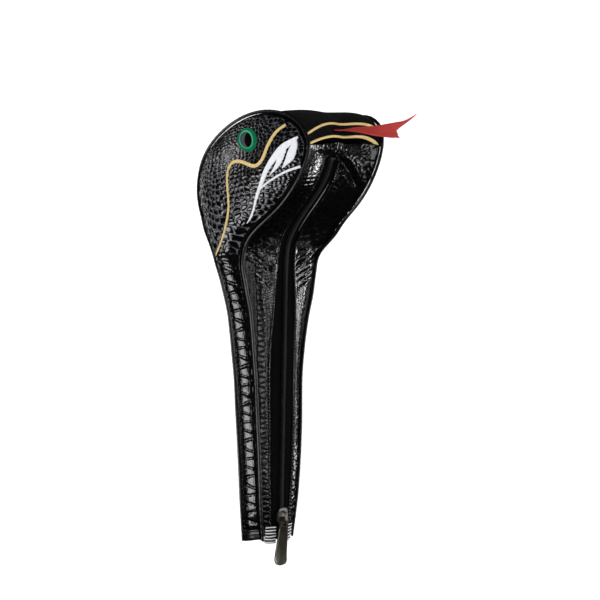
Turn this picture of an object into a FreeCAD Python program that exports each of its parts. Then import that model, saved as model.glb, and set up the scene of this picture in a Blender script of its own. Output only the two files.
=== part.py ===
import FreeCAD, Part
import bisect
import math
import os
from FreeCAD import Placement, Rotation, Vector

# Driver head cover shaped as a snake's head on a long neck.
# Frame: origin at the centre of the neck opening, +Z up the neck to the crown,
# +X forward (zipper, mouth, tongue), -Y the snake's right side. Millimetres.

# ---------------------------------------------------------------- driving dimensions
DIMENSIONS = {
    "skin_thickness": 1.4,
    "foam_thickness": 3.0,
    "lining_thickness": 1.2,
    "layer_gap": 0.15,
    "piping_radius": 1.5,
    "piping_clearance": 2.4,
    "thread_height": 0.8,
    "thread_sink": 0.3,
    "band_thickness": 1.0,
    "hem_height": 9.0,
    "elastic_top": 13.6,
    "elastic_drop": 3.0,
    "elastic_thickness": 1.2,
    "tape_thickness": 0.6,
    "tape_tuck": 3.0,
    "tape_depth": 1.6,
    "zipper_start": 16.4,
    "zipper_lean": 1.518,
    "zipper_straight": 238.0,
    "zipper_top": 350.0,
    "coil_inner": 0.65,
    "coil_outer": 3.0,
    "coil_proud": 0.5,
    "slider_height": 14.0,
    "slider_length": 15.5,
    "slider_width": 11.0,
    "plate_thickness": 1.4,
    "top_plate_lift": 0.9,
    "bottom_plate_drop": 4.1,
    "flange_width": 1.3,
    "bridge_width": 2.6,
    "bridge_thickness": 1.3,
    "bridge_rise": 4.6,
    "bridge_length": 11.0,
    "pull_length": 44.5,
    "pull_width": 15.0,
    "pull_top_width": 10.4,
    "pull_thickness": 1.8,
    "pull_window_width": 4.6,
    "pull_window_length": 6.6,
    "pull_pivot_lift": 4.0,
    "pull_pivot_height": 6.6,
    "pull_lean": 8.0,
    "tongue_thickness": 1.2,
    "tongue_root_width": 10.0,
    "tongue_fork_width": 17.0,
}

# The side panel's edge, from the front of the hem over the crown to the back of
# the hem: x, z, and how far the gusset's centre line stands out of that edge.
OUTLINE = [
    (10.0, 0.0, 6.4),
    (13.3, 90.0, 5.5),
    (12.3, 180.0, 8.9),
    (14.0, 240.0, 8.8),
    (14.3, 262.0, 9.4),
    (19.5, 277.0, 6.6),
    (36.0, 291.5, -1.7),
    (57.0, 305.5, -7.5),
    (87.0, 335.0, -11.5),
    (95.0, 352.0, -12.0),
    (90.5, 368.0, 1.0),
    (81.0, 378.0, 8.0),
    (38.0, 392.5, 5.5),
    (-10.0, 384.0, 5.0),
    (-40.5, 361.0, 6.0),
    (-48.5, 327.0, 6.0),
    (-30.0, 283.0, 6.0),
    (-17.0, 252.0, 6.0),
    (-14.0, 200.0, 7.0),
    (-11.5, 70.0, 6.5),
    (-13.5, 0.0, 5.0),
]

# Height against the gusset's half width and against the side panel's bulge.
HALF_WIDTH = [(0, 19.5), (40, 24.2), (110, 28.5), (150, 30.0), (180, 33.0), (210, 37.5),
              (240, 45.0), (262, 48.5), (290, 48.5), (310, 46.0), (393, 46.0)]
SIDE_BULGE = [(0, 3.0), (110, 4.5), (200, 6.0), (250, 8.0), (280, 13.0), (310, 17.0),
              (335, 18.0), (360, 15.0), (380, 8.0), (389, 3.0), (394, 0.0)]
# Height against half the gap between the two zipper-side edges of the front gusset.
ZIPPER_GAP = [(0, 10.0), (80, 13.5), (165, 15.0), (225, 12.0), (262, 9.0), (300, 8.0),
              (346, 7.0), (356, 0.2), (400, 0.2)]

# Heights on the front edge where the lip lines meet the piping, and the heights
# that they arch up to on the centre line.
LOWER_LIP = (356.5, 369.0)
UPPER_LIP = (365.0, 376.5)
CROWN_SEAM_HEIGHT = 356.0

# Embroidery on the right panel, as x, z.
EYE_CENTRE = (31.5, 368.0)
EYE_RADII = (14.0, 12.0)
EYE_INNER_RADII = (9.6, 8.4)
PUPIL_RADII = (4.6, 7.0)
GOLD_LINE = [(72.0, 376.5), (63.0, 369.5), (57.5, 354.0), (51.6, 344.4), (44.0, 341.8), (34.0, 346.0),
             (24.0, 349.3), (15.6, 347.0), (12.6, 338.0), (12.5, 306.0), (6.0, 288.0), (-10.0, 267.0)]
GOLD_WIDTH = 3.0
FANG = [(84.5, 364.0), (73.8, 359.0), (65.9, 352.5), (58.9, 343.8), (48.5, 324.4), (37.7, 304.9),
        (27.7, 293.0), (39.6, 304.2), (50.2, 322.7), (55.0, 329.3), (63.1, 333.4), (66.7, 345.5),
        (72.6, 338.1), (76.0, 353.2), (79.0, 345.0), (86.1, 352.4)]
WHISKER = [(87.0, 339.0), (77.0, 336.5), (65.5, 332.0), (52.0, 323.0)]
WHISKER_WIDTH = 2.4

# Tongue: x, y, z along the centre line to the notch, the roll of the sheet there
# in degrees, and the two tips.
TONGUE_LINE = [(91.6, 0.4, 376.0, 8.0), (108.0, 4.0, 374.6, 26.0), (127.0, 8.0, 371.4, 44.0),
               (146.0, 12.0, 370.0, 60.0)]
TONGUE_TIPS = [(156.4, 2.0, 360.7), (160.2, 24.0, 384.5)]

OUTLINE_SAMPLES = 1201
SHEET_ROWS = 30
SHEET_COLUMNS = 9
EMBROIDERY_GRID = 28

doc = FreeCAD.newDocument("driver_head_cover")
sheet = doc.addObject("Spreadsheet::Sheet", "dimensions")
for row, (alias, value) in enumerate(DIMENSIONS.items(), start=1):
    sheet.set(f"A{row}", alias)
    sheet.set(f"B{row}", str(value))
    sheet.setAlias(f"B{row}", alias)
doc.recompute()


def size(alias):
    return float(sheet.get(alias))


# ---------------------------------------------------------------- the cover's form
def profile(stations, place):
    """Smooth monotone curve through (place, value) stations."""
    places = [station[0] for station in stations]
    values = [station[1] for station in stations]
    place = min(max(place, places[0]), places[-1])
    k = min(bisect.bisect_right(places, place) - 1, len(places) - 2)
    secants = [(values[i + 1] - values[i]) / (places[i + 1] - places[i]) for i in range(len(places) - 1)]

    def slope(i):
        if i == 0 or i == len(places) - 1:
            return secants[min(i, len(secants) - 1)]
        before, after = secants[i - 1], secants[i]
        return 0.0 if before * after <= 0 else 2 * before * after / (before + after)

    span = places[k + 1] - places[k]
    t = (place - places[k]) / span
    return ((2 * t ** 3 - 3 * t ** 2 + 1) * values[k] + (t ** 3 - 2 * t ** 2 + t) * span * slope(k)
            + (3 * t ** 2 - 2 * t ** 3) * values[k + 1] + (t ** 3 - t ** 2) * span * slope(k + 1))


def smooth_step(low, high, value):
    t = min(max((value - low) / (high - low), 0.0), 1.0)
    return t * t * (3 - 2 * t)


class Outline:
    """The panel's edge by its running length from the front of the hem."""

    def __init__(self):
        curve = Part.BSplineCurve()
        curve.interpolate([Vector(x, crown, z) for x, z, crown in OUTLINE])
        samples = curve.discretize(Number=OUTLINE_SAMPLES)
        self.x = [p.x for p in samples]
        self.z = [p.z for p in samples]
        self.crown = [p.y for p in samples]
        self.run = [0.0]
        for a, b in zip(samples, samples[1:]):
            self.run.append(self.run[-1] + math.hypot(b.x - a.x, b.z - a.z))
        self.length = self.run[-1]
        self.top = max(range(len(samples)), key=lambda i: self.z[i])
        self.height = self.z[self.top]

    def at(self, run):
        """x, z, outward normal x, outward normal z, crown."""
        k = min(max(bisect.bisect_right(self.run, run) - 1, 0), len(self.run) - 2)
        step = self.run[k + 1] - self.run[k]
        t = (run - self.run[k]) / step
        low, high = max(k - 2, 0), min(k + 3, len(self.run) - 1)
        dx, dz = self.x[high] - self.x[low], self.z[high] - self.z[low]
        span = math.hypot(dx, dz)
        blend = min(max(t, 0.0), 1.0)
        return (self.x[k] + t * (self.x[k + 1] - self.x[k]), self.z[k] + t * (self.z[k + 1] - self.z[k]),
                dz / span, -dx / span, self.crown[k] + blend * (self.crown[k + 1] - self.crown[k]))

    def front_index(self, z):
        return next(i for i in range(self.top + 1) if self.z[i] >= min(z, self.height))

    def back_index(self, z):
        return next(i for i in range(len(self.z) - 1, self.top - 1, -1) if self.z[i] >= min(z, self.height))

    def front_run(self, z):
        return self.run[self.front_index(z)]

    def back_run(self, z):
        return self.run[self.back_index(z)]

    def chord(self, z):
        """Front and back x of the panel at one height."""
        i, j = self.front_index(z), self.back_index(z)
        return self.x[i], self.x[j]


edge = Outline()


def half_width(z):
    return profile(HALF_WIDTH, z)


def side_reach(x, z):
    """How far the side panel's outer face stands from the centre plane."""
    front, back = edge.chord(z)
    across = (2 * x - front - back) / max(front - back, 1e-6)
    return half_width(z) + profile(SIDE_BULGE, z) * max(1 - across ** 2, 0.0)


def zipper_x(z):
    return size("zipper_start") + math.tan(math.radians(size("zipper_lean"))) * z


def gusset_rise(run):
    """How far the gusset's centre line stands out of the edge: to the straight
    zipper line on the neck, to the drawn crown on the head and the back."""
    x, z, nx, nz, crown = edge.at(run)
    if run > edge.front_run(size("zipper_straight") + 24):
        return crown
    lean = math.tan(math.radians(size("zipper_lean")))
    straight = (zipper_x(z) - x) / (nx - lean * nz)
    fade = smooth_step(size("zipper_straight"), size("zipper_straight") + 20, z)
    return straight * (1 - fade) + crown * fade


def gusset_point(run, y, lift=0.0):
    """A point of the gusset's outer face, lifted outward by lift."""
    x, z, nx, nz, _ = edge.at(run)
    reach = half_width(z)
    rise = gusset_rise(run) * (1 - (y / reach) ** 2) + lift
    return Vector(x + nx * rise, y, z + nz * rise)


# ---------------------------------------------------------------- solids from sheets
def spline_face(grid):
    surface = Part.BSplineSurface()
    surface.interpolate(grid)
    return surface


def closed_solid(faces):
    shell = Part.Shell(faces)
    shell.sewShape()
    solid = Part.Solid(shell)
    if solid.Volume < 0:
        solid.reverse()
    return solid


def thick_sheet(outer, inner):
    """A solid between two grids of points of the same size."""
    pair = [spline_face(grid) for grid in (outer, inner)]
    faces = [surface.toShape() for surface in pair]
    for along in (0, 1):
        for end in (0, 1):
            rims = []
            for surface in pair:
                bounds = surface.bounds()
                iso = surface.uIso if along == 0 else surface.vIso
                rims.append(iso(bounds[2 * along + end]).toShape())
            faces.append(Part.makeRuledSurface(*rims))
    return closed_solid(faces)


def fractions(count):
    return [i / (count - 1) for i in range(count)]


def side_layer(depth, thickness, inset, low, high):
    """One layer of the right side, depth below the panel's outer face."""
    top = min(high, edge.height - 1.0)

    def grid(inward):
        rows = []
        for u in fractions(SHEET_ROWS):
            z = low + (top - low) * math.sin(u * math.pi / 2)
            front, back = edge.chord(z)
            middle, half = (front + back) / 2, (front - back) / 2 - inset
            rows.append([Vector(middle + a * half, -side_reach(middle + a * half, z) + inward, z)
                         for a in (2 * v - 1 for v in fractions(SHEET_COLUMNS))])
        return rows

    return thick_sheet(grid(depth), grid(depth + thickness))


def gusset_layer(run_low, run_high, y_near, y_far, lift, thickness, rows=SHEET_ROWS, columns=SHEET_COLUMNS):
    """One layer of the gusset. The two runs are functions of y over the half
    width, the two edges functions of height."""
    def grid(rise):
        lines = []
        for u in fractions(rows):
            line = []
            for v in fractions(columns):
                share = y_near(0) / half_width(0) * (1 - v) + y_far(0) / half_width(0) * v
                low, high = run_low(share), run_high(share)
                run = low + u * (high - low)
                z = edge.at(run)[1]
                y = y_near(z) * (1 - v) + y_far(z) * v
                line.append(gusset_point(run, y, rise))
            lines.append(line)
        return lines

    return thick_sheet(grid(lift), grid(lift - thickness))


def lip_run(lip, shift=0.0):
    """The run of a lip line at a share of the half width."""
    low, high = edge.front_run(lip[0]), edge.front_run(lip[1])
    return lambda share: low + (high - low) * (1 - share ** 2) + shift


def level(run):
    return lambda share: run


def tube(run_low, run_high, radius, count=60):
    """A cord sewn along the right edge of the gusset."""
    sections = []
    for u in fractions(count):
        run = run_low + u * (run_high - run_low)
        x, z, nx, nz, _ = edge.at(run)
        y = 0.1 - half_width(z)
        centre = Vector(x + nx * (radius + 0.15), y, z + nz * (radius + 0.15))
        corners = []
        for k in range(8):
            turn = math.pi * (2 * k + 1) / 8
            out = radius * math.cos(turn)
            corners.append(centre + Vector(nx * out, radius * math.sin(turn), nz * out))
        sections.append(Part.makePolygon(corners + corners[:1]))
    return Part.makeLoft(sections, True, True)


def mirrored(shape):
    return shape.mirror(Vector(0, 0, 0), Vector(0, 1, 0))


# ---------------------------------------------------------------- embroidery
def flat_face(points):
    corners = [Vector(x, 0, z) for x, z in points]
    return Part.Face(Part.makePolygon(corners + corners[:1]))


def stroke_face(points, width):
    """A band of even width along a smooth line, tapered at both ends."""
    line = Part.BSplineCurve()
    line.interpolate([Vector(x, 0, z) for x, z in points])
    samples = line.discretize(Number=6 * len(points))
    left, right = [], []
    for i, point in enumerate(samples):
        ahead = samples[min(i + 1, len(samples) - 1)] - samples[max(i - 1, 0)]
        normal = Vector(-ahead.z, 0, ahead.x).normalize()
        half = width / 2 * (0.3 if i in (0, len(samples) - 1) else 1.0)
        left.append((point.x + normal.x * half, point.z + normal.z * half))
        right.append((point.x - normal.x * half, point.z - normal.z * half))
    return flat_face(left + right[::-1])


def ellipse_face(centre, radii):
    ring = []
    for k in range(40):
        turn = 2 * math.pi * k / 40
        ring.append((centre[0] + radii[0] * math.cos(turn), centre[1] + radii[1] * math.sin(turn)))
    return flat_face(ring)


def embroidered(face):
    """Thread of an even height that follows the right panel inside a flat face."""
    box = face.BoundBox
    margin = 1.0

    def grid(lift):
        rows = []
        for u in fractions(EMBROIDERY_GRID):
            z = box.ZMin - margin + u * (box.ZLength + 2 * margin)
            rows.append([Vector(x, -side_reach(x, z) - lift, z)
                         for x in (box.XMin - margin + v * (box.XLength + 2 * margin)
                                   for v in fractions(EMBROIDERY_GRID))])
        return rows

    slab = thick_sheet(grid(size("thread_height")), grid(-size("thread_sink")))
    prism = face.extrude(Vector(0, -120, 0))
    return prism.common(slab)


# ---------------------------------------------------------------- making the nodes
nodes = []


def keep(name, shape):
    """A node whose shape is worked out from the form above."""
    node = doc.addObject("Part::Feature", name)
    node.Label = name
    node.Shape = shape
    nodes.append(node)
    return node


def both_sides(name, shape):
    keep("right_" + name, shape)
    keep("left_" + name, mirrored(shape))


skin = size("skin_thickness")
gap = size("layer_gap")


def inner_limit(z):
    return -(half_width(z) - skin - gap)


def outer_limit(z):
    return half_width(z) - skin - gap


def make_sides():
    foam_depth = skin + gap
    lining_depth = foam_depth + size("foam_thickness") + gap
    both_sides("side_panel", side_layer(0, skin, 0, 0, edge.height))
    both_sides("foam_pad", side_layer(foam_depth, size("foam_thickness"), 5.0, 14, edge.height - 7))
    both_sides("lining", side_layer(lining_depth, size("lining_thickness"), 6.5, 12, edge.height - 9))
    both_sides("piping", tube(0, edge.length, size("piping_radius")))
    both_sides("hem_band", side_layer(-gap - size("band_thickness"), size("band_thickness"), 1.2,
                                      0, size("hem_height")))


def inside_piping(z):
    return half_width(z) - size("piping_clearance")


def make_gussets():
    elastic = size("elastic_thickness")
    zip_edge = lambda z: -profile(ZIPPER_GAP, z)
    start = edge.front_run(size("elastic_top") + gap)
    crown_seam = edge.back_run(CROWN_SEAM_HEIGHT)
    both_sides("front_gusset", gusset_layer(level(start), lip_run(LOWER_LIP, -gap), inner_limit, zip_edge,
                                            0, skin, rows=40))
    keep("mouth_panel", gusset_layer(lip_run(LOWER_LIP), lip_run(UPPER_LIP), inner_limit, outer_limit,
                                     0, skin, rows=6, columns=15))
    keep("crown_gusset", gusset_layer(lip_run(UPPER_LIP, gap), level(crown_seam), inner_limit, outer_limit,
                                      0, skin))
    keep("back_gusset", gusset_layer(level(crown_seam + gap), level(edge.length), inner_limit, outer_limit,
                                     0, skin))
    for name, low, high in (("crown_lining", edge.front_run(384), crown_seam - 1.0),
                            ("back_lining", crown_seam + 1.0, edge.length - 12)):
        keep(name, gusset_layer(level(low), level(high), lambda z: -(half_width(z) - 9),
                                lambda z: half_width(z) - 9, -skin - gap, size("lining_thickness")))
    keep("back_hem_band", gusset_layer(level(edge.length - size("hem_height")), level(edge.length),
                                       lambda z: -inside_piping(z), inside_piping,
                                       gap + size("band_thickness"), size("band_thickness"), rows=4))
    both_sides("hem_elastic", gusset_layer(level(-size("elastic_drop")),
                                           level(edge.front_run(size("elastic_top"))),
                                           lambda z: -inside_piping(z), lambda z: -6.4,
                                           gap + elastic, elastic, rows=4))


def make_lips():
    cord = 1.1
    inset_near = lambda z: inner_limit(z) + 1.0
    inset_far = lambda z: outer_limit(z) - 1.0
    for name, lip in (("lower_lip_cord", LOWER_LIP), ("upper_lip_cord", UPPER_LIP)):
        keep(name, gusset_layer(lip_run(lip, -1.4), lip_run(lip, 1.4), inset_near, inset_far,
                                gap + cord, cord, rows=4, columns=17))


def zipper_point(run, y, lift):
    """A point of the zipper: flat across the coil, then down under the gusset."""
    point = gusset_point(run, 0, lift)
    under = gusset_point(run, y, lift)
    z = edge.at(run)[1]
    share = smooth_step(6.2, max(profile(ZIPPER_GAP, z), 7.5), abs(y))
    flat = Vector(point.x, y, point.z)
    return flat * (1 - share) + under * share


def zipper_strip(run_low, run_high, y_near, y_far, lift, thickness, rows=44, columns=7):
    def grid(rise):
        lines = []
        for u in fractions(rows):
            run = run_low + u * (run_high - run_low)
            z = edge.at(run)[1]
            lines.append([zipper_point(run, -(y_near(z) * (1 - v) + y_far(z) * v), rise)
                          for v in fractions(columns)])
        return lines

    return thick_sheet(grid(lift), grid(lift - thickness))


def make_zipper():
    top = edge.front_run(size("zipper_top"))
    tape_lift = -size("tape_depth")
    coil_height = size("coil_proud") + size("tape_depth") - gap / 3
    both_sides("zipper_tape", zipper_strip(0.5, top, lambda z: 0.75,
                                           lambda z: profile(ZIPPER_GAP, z) + size("tape_tuck"),
                                           tape_lift, size("tape_thickness")))
    both_sides("zipper_coil", zipper_strip(4.0, top - 2.0, lambda z: size("coil_inner"),
                                           lambda z: size("coil_outer"),
                                           size("coil_proud"), coil_height, columns=3))
    for name, run in (("zipper_bottom_stop", 9.0), ("zipper_top_stop", top - 4.0)):
        clamp = zipper_strip(run, run + 3.0, lambda z: -3.4, lambda z: 3.4,
                             size("coil_proud") + 0.05 + 0.9, 0.9, rows=3, columns=5)
        keep(name, clamp)


def make_embroidery():
    ring = ellipse_face(EYE_CENTRE, EYE_RADII).cut(ellipse_face(EYE_CENTRE, EYE_INNER_RADII))
    both_sides("eye_ring", embroidered(ring))
    both_sides("eye_pupil", embroidered(ellipse_face(EYE_CENTRE, PUPIL_RADII)))
    both_sides("gold_line", embroidered(stroke_face(GOLD_LINE, GOLD_WIDTH)))
    fang = flat_face(FANG).fuse(stroke_face(WHISKER, WHISKER_WIDTH)).removeSplitter()
    both_sides("fang", embroidered(fang))


def make_tongue():
    half_root, half_fork = size("tongue_root_width") / 2, size("tongue_fork_width") / 2
    thick = size("tongue_thickness")

    def frame_at(u):
        k = min(int(u * (len(TONGUE_LINE) - 1)), len(TONGUE_LINE) - 2)
        t = u * (len(TONGUE_LINE) - 1) - k
        a, b = TONGUE_LINE[k], TONGUE_LINE[k + 1]
        centre = Vector(*[a[i] + (b[i] - a[i]) * t for i in range(3)])
        roll = math.radians(a[3] + (b[3] - a[3]) * t)
        across = Vector(0, math.cos(roll), math.sin(roll))
        face = Vector(0, -math.sin(roll), math.cos(roll))
        return centre, across, face, half_root + (half_fork - half_root) * u

    def blade(lift):
        lines = []
        for u in fractions(10):
            centre, across, face, half = frame_at(u)
            lines.append([centre + across * (half * (2 * v - 1)) + face * lift for v in fractions(3)])
        return lines

    solid = thick_sheet(blade(thick / 2), blade(-thick / 2))
    notch, across, face, half = frame_at(1.0)
    for side, tip in zip((-1, 1), TONGUE_TIPS):
        wings = []
        for lift in (thick / 2, -thick / 2):
            inner = notch + face * lift
            outer = inner + across * (side * half)
            point = Vector(*tip) + face * lift
            wings.append(Part.makePolygon([inner, outer, point, inner]))
        solid = solid.fuse(Part.makeLoft(wings, True, True))
    keep("tongue", solid)


# ---------------------------------------------------------------- zipper slider
def slider_placement():
    """The slider's own frame: x out of the zipper, z up along it."""
    lean = size("zipper_lean")
    z = size("slider_height")
    return Placement(Vector(zipper_x(z), 0, z), Rotation(Vector(0, 1, 0), lean))


def bound(kind, name, place, **sizes):
    """A Part primitive whose sizes follow expressions on the sheet."""
    item = doc.addObject(kind, name)
    for prop, expression in sizes.items():
        item.setExpression(prop, expression)
    for axis, expression in zip("xyz", place):
        item.setExpression(f".Placement.Base.{axis}", expression)
    return item


def fused(name, items, placement):
    item = doc.addObject("Part::MultiFuse", name)
    item.Label = name
    item.Shapes = items
    item.Placement = placement
    nodes.append(item)
    return item


def make_slider_body():
    d = "dimensions."
    plates = []
    for name, lift in (("slider_top_plate", d + "top_plate_lift"),
                       ("slider_bottom_plate", "-" + d + "bottom_plate_drop")):
        plate = bound("Part::Box", name, (lift, f"-{d}slider_width / 2", "0"),
                      Length=d + "plate_thickness", Width=d + "slider_width", Height=d + "slider_length")
        doc.recompute()
        rounded = doc.addObject("Part::Fillet", name + "_rounded")
        rounded.Base = plate
        corners = [i + 1 for i, e in enumerate(plate.Shape.Edges)
                   if abs(e.BoundBox.XLength - size("plate_thickness")) < 0.01 and e.BoundBox.YLength < 0.01
                   and e.BoundBox.ZLength < 0.01]
        rounded.Edges = [(i, 3.2, 3.2) for i in corners]
        plates.append(rounded)
    flanges = []
    for name, y in (("slider_right_flange", f"-{d}slider_width / 2"),
                    ("slider_left_flange", f"{d}slider_width / 2 - {d}flange_width")):
        flanges.append(bound("Part::Box", name, (f"-{d}tape_depth + 0.5", y, "3.4"),
                             Length=f"{d}top_plate_lift + {d}tape_depth",
                             Width=d + "flange_width", Height=f"{d}slider_length - 6.8"))
    post = bound("Part::Box", "slider_post", (f"-{d}bottom_plate_drop + 0.6", "-0.33",
                                              f"{d}slider_length - 4"),
                 Length=f"{d}bottom_plate_drop + {d}top_plate_lift", Width="0.66", Height="3")
    return fused("slider_body", plates + flanges + [post], slider_placement())


def make_slider_bridge():
    """The arch that the pull hangs from, a flat bar bent over the top plate."""
    body = doc.addObject("PartDesign::Body", "slider_bridge")
    body.Label = "slider_bridge"
    plane = next(f for f in body.Origin.OriginFeatures if f.Role == "XZ_Plane")
    sketch = body.newObject("Sketcher::SketchObject", "bridge_profile")
    sketch.AttachmentSupport = [(plane, "")]
    sketch.MapMode = "FlatFace"
    foot = size("top_plate_lift") + size("plate_thickness") + 0.02
    rise, length, bar = size("bridge_rise"), size("bridge_length"), size("bridge_thickness")
    low = (size("slider_length") - length) / 2
    outer = [(foot, low), (foot + rise, low + 2.2), (foot + rise, low + length - 2.2), (foot, low + length)]
    inner = [(foot, low + length - bar * 1.3), (foot + rise - bar, low + length - 2.2 - bar * 0.6),
             (foot + rise - bar, low + 2.2 + bar * 0.6), (foot, low + bar * 1.3)]
    corners = [Vector(x, z, 0) for x, z in outer + inner]
    for a, b in zip(corners, corners[1:] + corners[:1]):
        sketch.addGeometry(Part.LineSegment(a, b), False)
    pad = body.newObject("PartDesign::Pad", "bridge_bar")
    pad.Profile = sketch
    pad.setExpression("Length", "dimensions.bridge_width")
    pad.Midplane = True
    body.Placement = slider_placement()
    nodes.append(body)
    return body


def make_pull():
    """The pull: a plate that widens downward, with a window round the bridge."""
    body = doc.addObject("PartDesign::Body", "zipper_pull")
    body.Label = "zipper_pull"
    plane = next(f for f in body.Origin.OriginFeatures if f.Role == "YZ_Plane")
    long, wide, narrow = size("pull_length"), size("pull_width") / 2, size("pull_top_width") / 2
    plate = body.newObject("Sketcher::SketchObject", "pull_outline")
    plate.AttachmentSupport = [(plane, "")]
    plate.MapMode = "FlatFace"
    bar = size("pull_thickness") / 2
    outline = [Vector(-narrow, -8.0, 0), Vector(-narrow, bar - 1.0, 0), Vector(-narrow + 1.0, bar, 0),
               Vector(narrow - 1.0, bar, 0), Vector(narrow, bar - 1.0, 0), Vector(narrow, -8.0, 0),
               Vector(wide, -long + 7, 0), Vector(wide * 0.55, -long + 0.8, 0), Vector(0, -long, 0),
               Vector(-wide * 0.55, -long + 0.8, 0), Vector(-wide, -long + 7, 0)]
    for a, b in zip(outline, outline[1:] + outline[:1]):
        plate.addGeometry(Part.LineSegment(a, b), False)
    pad = body.newObject("PartDesign::Pad", "pull_plate")
    pad.Profile = plate
    pad.setExpression("Length", "dimensions.pull_thickness")
    pad.Midplane = True
    window = body.newObject("Sketcher::SketchObject", "pull_window")
    window.AttachmentSupport = [(plane, "")]
    window.MapMode = "FlatFace"
    side, end = size("pull_window_width") / 2, bar + size("pull_window_length")
    corners = [Vector(-side, -bar, 0), Vector(side, -bar, 0), Vector(side, -end, 0), Vector(-side, -end, 0)]
    for a, b in zip(corners, corners[1:] + corners[:1]):
        window.addGeometry(Part.LineSegment(a, b), False)
    doc.recompute()
    pocket = body.newObject("PartDesign::Pocket", "pull_window_cut")
    pocket.Profile = window
    pocket.Type = 1
    pocket.Midplane = True
    lean = Rotation(Vector(1, 0, 0), -size("pull_lean"))
    pivot = slider_placement().multVec(Vector(size("pull_pivot_lift"), 0, size("pull_pivot_height")))
    body.Placement = Placement(pivot, lean)
    nodes.append(body)


make_sides()
make_gussets()
make_lips()
make_zipper()
make_embroidery()
make_tongue()
make_slider_body()
make_slider_bridge()
make_pull()
doc.recompute()

# ---------------------------------------------------------------- checks and files
failed = [obj.Name for obj in doc.Objects if "Invalid" in obj.State or "Error" in obj.State]
if failed:
    raise RuntimeError("failed objects: " + ", ".join(failed))
os.makedirs("parts", exist_ok=True)
bad = [node.Label for node in nodes
       if node.Shape.isNull() or not node.Shape.isValid() or node.Shape.Volume <= 0]
if bad:
    raise RuntimeError("bad shapes: " + ", ".join(bad))
for node in nodes:
    node.Shape.exportStep(f"parts/{node.Label}.step")
    print(f"{node.Label}: {len(node.Shape.Solids)} solid, {node.Shape.Volume / 1000:.2f} cm3")
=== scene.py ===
"""Looks of a snake's head driver head cover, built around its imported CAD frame.

Soft goods are drawn here in millimetres, on the same form as the CAD solids, and
turned into metres when a mesh is made. Right is -Y, front is +X, up is +Z.
"""

import math

import bmesh
import bpy
import numpy as np
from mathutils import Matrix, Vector


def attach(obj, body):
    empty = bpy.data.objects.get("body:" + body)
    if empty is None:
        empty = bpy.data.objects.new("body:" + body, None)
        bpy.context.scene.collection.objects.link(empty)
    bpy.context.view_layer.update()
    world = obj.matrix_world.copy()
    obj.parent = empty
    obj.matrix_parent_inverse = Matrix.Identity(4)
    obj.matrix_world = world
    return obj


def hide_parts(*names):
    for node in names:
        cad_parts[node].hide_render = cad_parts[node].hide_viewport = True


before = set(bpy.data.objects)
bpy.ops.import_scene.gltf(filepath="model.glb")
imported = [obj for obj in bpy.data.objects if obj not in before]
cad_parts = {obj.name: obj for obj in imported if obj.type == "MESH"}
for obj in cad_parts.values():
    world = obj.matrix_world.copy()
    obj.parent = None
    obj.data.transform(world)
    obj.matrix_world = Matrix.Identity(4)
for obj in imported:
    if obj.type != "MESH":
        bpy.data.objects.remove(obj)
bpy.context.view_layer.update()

# ------------------------------------------------------------------ the form
# The side panel's edge from the front of the hem over the crown to the back of
# the hem: x, z, and how far the gusset's centre line stands out of that edge.
OUTLINE = [
    (10.0, 0.0, 6.4), (13.3, 90.0, 5.5), (12.3, 180.0, 8.9), (14.0, 240.0, 8.8), (14.3, 262.0, 9.4),
    (19.5, 277.0, 6.6), (36.0, 291.5, -1.7), (57.0, 305.5, -7.5), (87.0, 335.0, -11.5),
    (95.0, 352.0, -12.0), (90.5, 368.0, 1.0), (81.0, 378.0, 8.0), (38.0, 392.5, 5.5),
    (-10.0, 384.0, 5.0), (-40.5, 361.0, 6.0), (-48.5, 327.0, 6.0), (-30.0, 283.0, 6.0),
    (-17.0, 252.0, 6.0), (-14.0, 200.0, 7.0), (-11.5, 70.0, 6.5), (-13.5, 0.0, 5.0),
]
HALF_WIDTH = [(0, 19.5), (40, 24.2), (110, 28.5), (150, 30.0), (180, 33.0), (210, 37.5),
              (240, 45.0), (262, 48.5), (290, 48.5), (310, 46.0), (393, 46.0)]
SIDE_BULGE = [(0, 3.0), (110, 4.5), (200, 6.0), (250, 8.0), (280, 13.0), (310, 17.0),
              (335, 18.0), (360, 15.0), (380, 8.0), (389, 3.0), (394, 0.0)]
ZIPPER_GAP = [(0, 10.0), (80, 13.5), (165, 15.0), (225, 12.0), (262, 9.0), (300, 8.0),
              (346, 7.0), (356, 0.2), (400, 0.2)]
LOWER_LIP = (356.5, 369.0)
UPPER_LIP = (365.0, 376.5)
CROWN_SEAM_HEIGHT = 356.0
ZIPPER_START, ZIPPER_LEAN, ZIPPER_STRAIGHT, ZIPPER_TOP = 16.4, 1.518, 238.0, 350.0
SKIN, FOAM, LINING = 1.4, 3.0, 1.2
PIPING_RADIUS = 1.5
ELASTIC_TOP, ELASTIC_DROP = 13.6, 3.0
MM = 0.001
FULL_TURN = 2 * math.pi
# Each side's name, and whether it is the mirror image of the right one.
SIDES = (("right", False), ("left", True))
RIGHT = np.array([0.0, -1.0, 0.0])
# How far a gusset's edge stays inside the piping's seam.
SEAM_INSET = 0.2
RHOMB_WIDTH, FLUFF_SIZE = 6.4, 3.1
# The rolled edge beside the zipper: its radius, and the pitch of its beads.
FOLD_ROLL, BEAD_PITCH = 2.2, 3.1
STITCH_TOP, STITCH_AWAY = 346.0, 2.6
COIL_PITCH, COIL_RADIUS = 1.25, 0.52
# The elastic's distance from the centre line, and its number of ribs.
ELASTIC_NEAR, ELASTIC_RIBS = 6.4, 6
# Rows and columns of the grids of the finished cloth.
SIDE_GRID, FRONT_GRID, BACK_GRID = (560, 176), (700, 70), (520, 130)
CROWN_GRID, MOUTH_GRID, PAD_GRID, FLEECE_GRID = (190, 120), (26, 150), (260, 70), (200, 60)


def joined(*parts):
    """Points or UVs from separate coordinates, stretched to one shape."""
    return np.stack(np.broadcast_arrays(*parts), axis=-1)


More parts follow.
